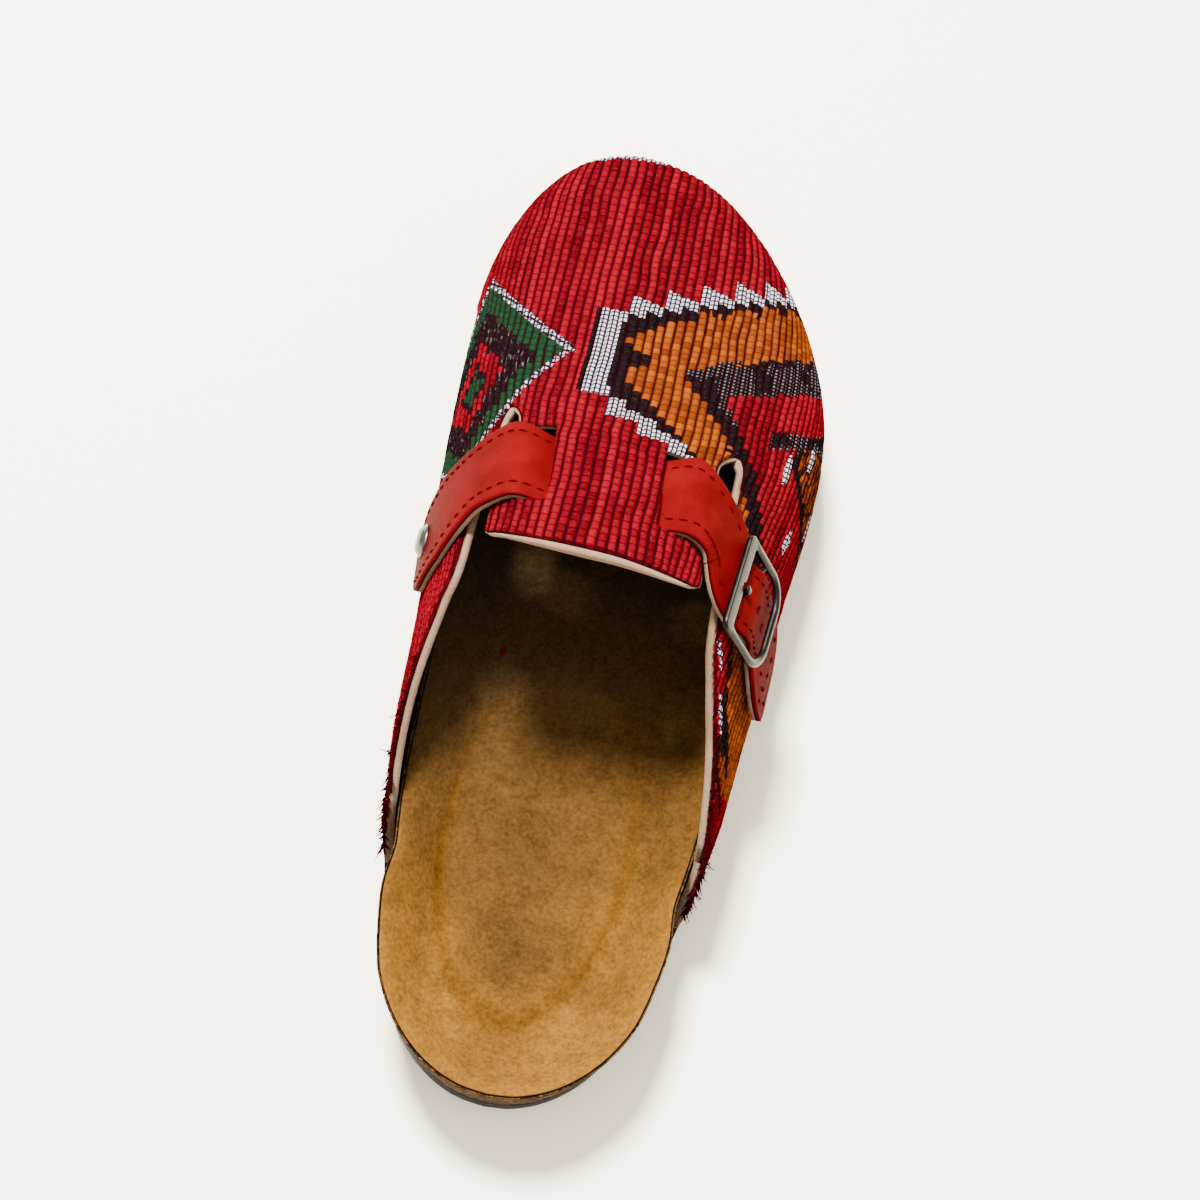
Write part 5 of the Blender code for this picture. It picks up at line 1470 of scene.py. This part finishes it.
# The squares inside the prong's hole are left out.
strap_faces = grid_faces(*strap_across.shape)
centre_row = (strap_rows[:-1] + strap_rows[1:]) / 2 - strap_hole
centre_column = (STRAP_COLUMNS[:-1] + STRAP_COLUMNS[1:]) / 2
punched = (np.abs(centre_row)[:, None] < 1.3) & (np.abs(centre_column)[None, :] < 1.3)
strap_faces = strap_faces[~punched.ravel()]
values = np.stack((np.repeat(strap_rows[:, None], strap_across.shape[1], axis=1), strap_across,
                   bend * 0.5), axis=-1).reshape(-1, 3)
red_leather = leather_material("red_leather", (0.086, 0.0016, 0.0022), (0.050, 0.0007, 0.0011))
strap = slab("strap_leather", top.reshape(-1, 3), under.reshape(-1, 3),
             np.vstack((values, values * (1, 1, 0) + (0, 0, STRAP_THICK))), strap_faces,
             red_leather, "strap_leather", ("strap",))
weld(strap, 1e-7)


# ---------------------------------------------------------------- strap stitching
# Red thread in short stitches along both edges of the strap. Each row is pulled down a
# little into the leather.

STITCH_THREAD = 0.24      # radius


def stitch_line(side):
    """Middles and directions of the stitches beside one edge of the strap."""
    rows = np.arange(STITCH_IN + 1.0, strap_rows[-1] - STRAP_TIP * 0.45, STITCH_PITCH)
    at = [np.interp(rows, strap_rows, column) for column in strap_columns]
    across = side * (strap_half(rows) - STITCH_IN)
    base, out, _ = strap_surface(rows, at, across[:, None])
    return base[:, 0] + out[:, 0] * (STRAP_THICK - 0.12), out[:, 0]


def stitches():
    """Short threads, each a rod that dives into the leather at both ends."""
    t = np.linspace(-1, 1, 5)
    parts = []
    for side in (-1, 1):
        middles, outs = stitch_line(side)
        for middle, out, way in zip(middles, outs, unit(np.gradient(middles, axis=0))):
            path = (middle + way * (t * STITCH_LONG / 2)[:, None]
                    + out * (0.22 - 0.42 * t**2)[:, None])
            parts.append(tube(path, STITCH_THREAD * np.sqrt(1.05 - t**2), 6))
    return join_parts(parts)


stitching = add_piece("strap_stitching", *stitches(),
                      thread_material("red_thread", (0.050, 0.0008, 0.0012),
                                      (0.024, 0.0004, 0.0007)),
                      "strap_leather")
weld(stitching, 1e-7)


# ---------------------------------------------------------------- punched holes
# Adjusting holes punched in the strap's free end, beside the one that holds the prong:
# round, with a pressed rim and a floor, both painted near black as the shade
# inside the hole.

PUNCH_PITCH, PUNCH_WIDE = 8.4, 1.0             # the adjusting holes


def disc(origin, out, along, radius, depth, sides=12):
    """Points and faces of a small dished disc that marks a punched hole."""
    turn = math.tau * np.arange(sides) / sides
    across = np.cross(out, along)
    rim = np.cos(turn)[:, None] * along + np.sin(turn)[:, None] * across
    profile = ((1.35, -0.12), (1.12, 0.10), (0.95, 0.02), (0.8, -depth), (0.02, -depth))
    loops = [origin + rim * radius * share + out * lift for share, lift in profile]
    faces = loop_faces(len(loops), sides).tolist() + [list(range(4 * sides, 5 * sides))]
    return np.concatenate(loops), faces


def punched_holes():
    """Adjusting holes at an even pitch beyond the one that the prong takes."""
    rows = strap_hole + PUNCH_PITCH * np.array((1.0, 2.0))
    at = [np.interp(rows, strap_rows, column) for column in strap_columns]
    base, out, _ = strap_surface(rows, at, np.zeros((len(rows), 1)))
    ahead = unit(np.gradient(base[:, 0], axis=0))
    return join_parts([disc(b[0] + o[0] * (STRAP_THICK + 0.02), o[0], a, PUNCH_WIDE, 0.05)
                       for b, o, a in zip(base, out, ahead)])


def hole_material():
    """Painted shade inside a punched hole: almost black, with a faint mottle."""
    look = Look("punched_hole_shade", (0.00888, 0.000888, 0.000888), 0.8, Specular_IOR_Level=0.0)
    fibre = look.noise(look.place_mm(), 2.5)
    look.colour(look.mix(fibre, (0.00222, 0.00074, 0.00074), (0.0148, 0.00111, 0.00111)))
    return look.material


holes = add_piece("strap_holes", *punched_holes(), hole_material(), "strap_leather")
weld(holes, 1e-7)


# ---------------------------------------------------------------- rivet
# A domed cap of nickel-plated steel. It is set through the strap and the medial side of
# the upper.

RIVET_RADIUS, RIVET_HEIGHT = 4.2, 2.0
RIVET_AT = (129.4, 53.8)  # distance from the heel and height


def nickel_material(name, bright, dark, roughness):
    """Plated metal: soft clouds of tarnish and fine rubbed scratches."""
    look = Look(name, bright, roughness, Metallic=1.0)
    place_mm = look.place_mm()
    cloud = look.noise(place_mm, 0.35, 4.0)
    rub = look.noise(look.stretch(place_mm, (0.6, 5.0, 0.9)), 1.0, 3.0)
    look.colour(look.mix(cloud * 0.7 + rub * 0.4, dark, bright))
    look.rough(cloud * 0.22 + rub * 0.2 + roughness - 0.16)
    look.bump(rub * 0.5 + cloud * 0.5, 0.05, 0.4)
    return look.material


def local_frame(side, y, z, stand):
    """A point over the side of the upper and three directions there: along the shoe,
    down the side, and outwards."""
    s, g = locate("side", side, y, z)
    outward = upper_normal(s, g)
    origin = upper_point(s, g) + outward * stand
    along = unit(np.array((0.0, 1.0, 0.0)) - outward * outward[1])
    return origin, along, np.cross(along, outward), outward


RIVET_PROFILE = ((0.0, -0.2), (1.0, -0.2), (1.04, 0.05), (1.0, 0.26), (0.93, 0.36), (0.89, 0.38),
                 (0.84, 0.52), (0.72, 0.74), (0.55, 0.89), (0.32, 0.97), (0.12, 1.0), (0.0, 1.0))


def rivet_cap(sides=40):
    """The profile, radius and height, spun about the rivet's axis."""
    origin, along, down, outward = local_frame(MEDIAL, *RIVET_AT, 0.45 + STRAP_THICK + 0.1)
    turn = math.tau * np.arange(sides) / sides
    circle = np.cos(turn)[:, None] * along + np.sin(turn)[:, None] * down
    loops = [origin + circle * max(radius, 0.01) * RIVET_RADIUS + outward * height * RIVET_HEIGHT
             for radius, height in RIVET_PROFILE]
    return stack(loops)


rivet = add_piece("rivet_cap", *rivet_cap(),
                  nickel_material("bright_nickel", (0.13, 0.120, 0.105),
                                  (0.06, 0.055, 0.049), 0.25),
                  "nickel", ("rivet",))
weld(rivet, 2e-4)


# ---------------------------------------------------------------- buckle frame
# Nickel-plated steel, dark with age: a stamped frame with one broad, notched rail, round
# far corners and a hinge bar across its middle, which the tab holds down.

# Places of the buckle's two rails: distance from the heel and height.
RAIL_NEAR_AT, RAIL_FAR_AT = (126.7, 76.3), (124.1, 57.5)
FRAME_LENGTH, FRAME_THICK = 27.0, 1.5
FRAME_WIRE, FRAME_RAIL = 2.2, 4.0     # widths of its side wires and of its broad rail
FRAME_STAND = 4.4         # height of its rails over the upper
FRAME_DIP = 2.55          # how far the hinge bar lies below the rails
BAR_THICK = 1.6           # the hinge bar


def buckle_axes():
    """Middle of the buckle's plane, its directions from heel to toe, down and out, and
    the distance between its rails."""
    near = local_frame(LATERAL, *RAIL_NEAR_AT, FRAME_STAND)[0]
    far = local_frame(LATERAL, *RAIL_FAR_AT, FRAME_STAND)[0]
    drop = np.linalg.norm(far - near)
    down = (far - near) / drop
    outward = upper_normal(*locate("side", LATERAL, (RAIL_NEAR_AT[0] + RAIL_FAR_AT[0]) / 2,
                                   (RAIL_NEAR_AT[1] + RAIL_FAR_AT[1]) / 2))
    outward = unit(outward - down * outward.dot(down))
    toeward = np.cross(outward, down)
    return (near + far) / 2, toeward * np.sign(toeward[1]), down, outward, drop


BUCKLE = buckle_axes()
FRAME_ROUND = (2.2, 8.2)  # its corners by the near rail and at the rounder far end


def on_buckle(flat, stand):
    """Points in the buckle's plane: along the shoe, down the side, and out from it."""
    origin, toeward, down, outward, _ = BUCKLE
    return (origin + flat[..., :1] * toeward + flat[..., 1:2] * down
            + np.asarray(stand)[..., None] * outward)


def rounded_rectangle(length, height, corners, rows=240):
    """Outline about 0, 0 with round corners: by the near rail, then by the far one."""
    near, far = corners
    parts = []
    turn = np.linspace(0, math.pi / 2, 13)
    for quarter in range(4):
        corner = far if quarter in (0, 1) else near
        middle = np.array(((length / 2 - corner) * (1 if quarter in (0, 3) else -1),
                           (height / 2 - corner) * (1 if quarter in (0, 1) else -1)))
        at = turn + quarter * math.pi / 2
        parts.append(middle + corner * np.column_stack((np.cos(at), np.sin(at))))
    loop = np.concatenate(parts)
    # Stations lie at even turns about the middle, so that two outlines match.
    angle = np.unwrap(np.arctan2(loop[:, 1] / height, loop[:, 0] / length))
    closed_angle = np.concatenate((angle, [angle[0] + math.tau]))
    closed = np.vstack((loop, loop[:1]))
    even = angle[0] + np.linspace(0, math.tau, rows + 1)[:-1]
    return np.column_stack([np.interp(even, closed_angle, closed[:, k]) for k in (0, 1)])


def buckle_shape():
    """A ring whose cross-section runs from the outer to the inner outline. It is boxy on
    the broad rail and round elsewhere, and a notch in the rail takes the prong."""
    height = BUCKLE[4] + FRAME_RAIL / 2 + FRAME_WIRE / 2
    outside = rounded_rectangle(FRAME_LENGTH, height, FRAME_ROUND)
    inside = rounded_rectangle(FRAME_LENGTH - 2 * FRAME_WIRE, height - FRAME_RAIL - FRAME_WIRE,
                               [max(round_ - 1.8, 1.0) for round_ in FRAME_ROUND])
    inside[:, 1] += (FRAME_RAIL - FRAME_WIRE) / 2
    on_rail = ramp(-inside[:, 1], height * 0.22, height * 0.30)
    notch = on_rail * np.exp(-(inside[:, 0] / 1.15) ** 6)
    inside[:, 1] -= notch * 1.15
    turn = math.tau * np.arange(16) / 16
    boxy = (0.30 + 0.62 * (1 - on_rail))[:, None]
    u = np.sign(np.cos(turn)) * np.abs(np.cos(turn)) ** boxy
    v = np.sign(np.sin(turn)) * np.abs(np.sin(turn)) ** boxy
    flat = (outside + inside)[:, None] / 2 + (outside - inside)[:, None] / 2 * u[..., None]
    flat = flat + np.array((0.0, (FRAME_WIRE - FRAME_RAIL) / 4))
    stand = FRAME_THICK / 2 * (1 + v * (1 + 0.25 * (1 - on_rail))[:, None])
    points = on_buckle(flat, stand).reshape(-1, 3)
    number = np.arange(points.shape[0]).reshape(flat.shape[:2])
    after, beside = np.roll(number, -1, axis=0), np.roll(number, -1, axis=1)
    faces = np.stack((number, beside, np.roll(after, -1, axis=1), after), axis=-1).reshape(-1, 4)
    bar_half = FRAME_LENGTH / 2 - FRAME_WIRE / 2
    across = np.linspace(-bar_half, bar_half, 25)
    sunk = FRAME_DIP * ramp(bar_half - np.abs(across), 0.0, 2.4)
    bar = on_buckle(np.column_stack((across, 0 * across)), FRAME_THICK / 2 - sunk)
    return join_parts([(points, faces.tolist()), tube(bar, BAR_THICK / 2, 14)])


dark_nickel = nickel_material("antique_nickel", (0.022, 0.0196, 0.0164),
                              (0.007, 0.0062, 0.0054), 0.34)
buckle = add_piece("buckle_frame_shaped", *buckle_shape(), dark_nickel, "nickel",
                   ("buckle_frame",))
weld(buckle, 1e-7)


# ---------------------------------------------------------------- buckle prong
# Bent steel wire, plated like the frame. It hangs on the hinge bar, comes up through
# the strap's hole and rests in the rail's notch.

PRONG_WIDTH, PRONG_THICK = 1.7, 1.1

# The prong's path. Columns: distance before the hinge bar, height over the upper.
PRONG_REST = ((1.35, 2.1), (4.6, 1.35), (6.0, 1.25), (6.55, 1.9), (6.75, 4.6), (7.4, 6.25),
              (9.3, 6.35))


def prong_shape():
    """An oval section carried along the prong's path, with a rounded tip."""
    rows, sides = 44, 14
    knots = np.array(PRONG_REST)
    along = length_to(knots)
    at = np.linspace(0, along[-1], rows)
    path = np.column_stack([smooth(at, np.column_stack((along, knots[:, k]))) for k in (0, 1)])
    path[:, 0] *= -1
    ahead = unit(np.gradient(path, axis=0))
    across = np.column_stack((-ahead[:, 1], ahead[:, 0]))
    end = np.minimum(at, along[-1] - at)
    size = np.sqrt(np.clip(1 - (1 - np.clip(end / 0.8, 0, 1)) ** 2, 0.01, 1))
    turn = math.tau * np.arange(sides) / sides
    wide = np.cos(turn)[None, :] * (PRONG_WIDTH / 2 * 1.12 * size)[:, None]
    thick = np.sin(turn)[None, :] * (PRONG_THICK / 2 * size)[:, None]
    flat = np.stack((wide, path[:, :1] + across[:, :1] * thick), axis=-1)
    points = on_buckle(flat, path[:, 1:] + across[:, 1:] * thick - FRAME_STAND)
    ends = [list(range(sides))[::-1], list(range((rows - 1) * sides, rows * sides))]
    return points.reshape(-1, 3), loop_faces(rows, sides).tolist() + ends


prong = add_piece("buckle_prong_bent", *prong_shape(), dark_nickel, "nickel", ("buckle_prong",))
weld(prong, 1e-7)


# ---------------------------------------------------------------- buckle tab
# A short piece of the strap's leather that holds the hinge bar down on the quarter.
# It is fastened under the frame.

TAB_HALF_SECTIONS, TAB_THICK = 0.40, 0.7       # half its width, in sections
TAB_FROM, TAB_TO = (125.0, 66.9), (124.5, 60.8)  # distance from the heel and height


def tab_shape(rows=22, columns=18):
    """A patch of the quarter's surface, lifted by its thickness and rounded at its
    edges."""
    down = np.linspace(0, 1, rows)[:, None]
    across = np.linspace(-1, 1, columns)[None, :]
    (s_from, g_from), (s_to, g_to) = (locate("side", LATERAL, *at) for at in (TAB_FROM, TAB_TO))
    half = TAB_HALF_SECTIONS * np.sqrt(1 - (0.9 * down) ** 4)
    s = s_from + (s_to - s_from) * down + half * across
    g = g_from + (g_to - g_from) * down + 0 * across
    base, out = upper_point(s, g), upper_normal(s, g)
    edge = np.minimum(1 - np.abs(across) + 0 * down, (1 - down) + 0 * across) * 6
    rim = np.clip(1 - edge / 0.5, 0, 1) ** 2 * 0.3
    top = base + out * (GAP + TAB_THICK - rim)[..., None]
    low = base + out * GAP
    values = np.stack((8 * down + 0 * across, 6 * across + 0 * down, rim), axis=-1).reshape(-1, 3)
    values = np.vstack((values, values + (0, 0, TAB_THICK)))
    return top.reshape(-1, 3), low.reshape(-1, 3), values, grid_faces(rows, columns)


tab = slab("buckle_tab_leather", *tab_shape(), red_leather, "strap_leather", ("buckle_tab",))
weld(tab, 1e-7)


# ---------------------------------------------------------------- floor, light and camera
# Warm white paper under the shoe, an even white sky, and three round soft lights. The
# camera looks down from over the heel, leaning towards the toe.

FLOOR_HALF = 9.0          # metres, well past the view
SKY, SKY_STRENGTH = (1.0, 0.985, 0.955, 1.0), 1.05
CAMERA_AT, CAMERA_LENS = (-0.00015, -0.2267, 0.5966), 69.5     # metres, millimetres
CAMERA_TILT, CAMERA_ROLL = math.radians(21.93), math.radians(12.8)


def floor_material():
    """Matte warm-white paper with a very faint unevenness."""
    look = Look("floor_paper", (0.96, 0.86, 0.67), 0.9, Specular_IOR_Level=0.0)
    grain = look.noise(look.place_mm(), 0.012, 2.0)
    look.colour(look.mix(grain, (0.955, 0.850, 0.660), (0.970, 0.870, 0.685)))
    return look.material


floor_mesh = bpy.data.meshes.new("floor")
floor_mesh.from_pydata([(x * FLOOR_HALF, y * FLOOR_HALF, 0) for x, y in
                        ((-1, -1), (1, -1), (1, 1), (-1, 1))], [], [(0, 1, 2, 3)])
floor_mesh.materials.append(floor_material())
floor = bpy.data.objects.new("floor", floor_mesh)
scene.collection.objects.link(floor)

world = bpy.data.worlds.new("studio")
world.use_nodes = True
background = world.node_tree.nodes["Background"]
background.inputs["Color"].default_value = SKY
background.inputs["Strength"].default_value = SKY_STRENGTH
scene.world = world


def add_light(name, place_at, target, size, power):
    """A round soft light that faces its target."""
    light = bpy.data.lights.new(name, "AREA")
    light.shape = "DISK"
    light.size, light.energy = size, power
    lamp = bpy.data.objects.new(name, light)
    lamp.location = place_at
    aim = Vector(target) - Vector(place_at)
    lamp.rotation_euler = aim.to_track_quat("-Z", "Y").to_euler()
    scene.collection.objects.link(lamp)


# Each light: its place, target, diameter in metres and power in watts.
MIDDLE = (0.0, 0.0, 0.05)
add_light("key", (-0.33, 0.42, 1.36), MIDDLE, 0.30, 132.0)
add_light("fill", (0.9, -0.1, 0.9), MIDDLE, 1.0, 6.0)
add_light("top", (0.0, -0.35, 1.4), MIDDLE, 1.2, 16.0)

camera_data = bpy.data.cameras.new("camera")
camera_data.lens, camera_data.sensor_width = CAMERA_LENS, 36.0
camera_data.clip_start = 0.02
camera = bpy.data.objects.new("camera", camera_data)
camera.location = CAMERA_AT
aim = Vector((0.0, math.sin(CAMERA_TILT), -math.cos(CAMERA_TILT)))
facing = aim.to_track_quat("-Z", "Y").to_matrix().to_4x4()
camera.matrix_world = Matrix.Translation(CAMERA_AT) @ facing @ Matrix.Rotation(CAMERA_ROLL, 4, "Z")
scene.collection.objects.link(camera)
scene.camera = camera
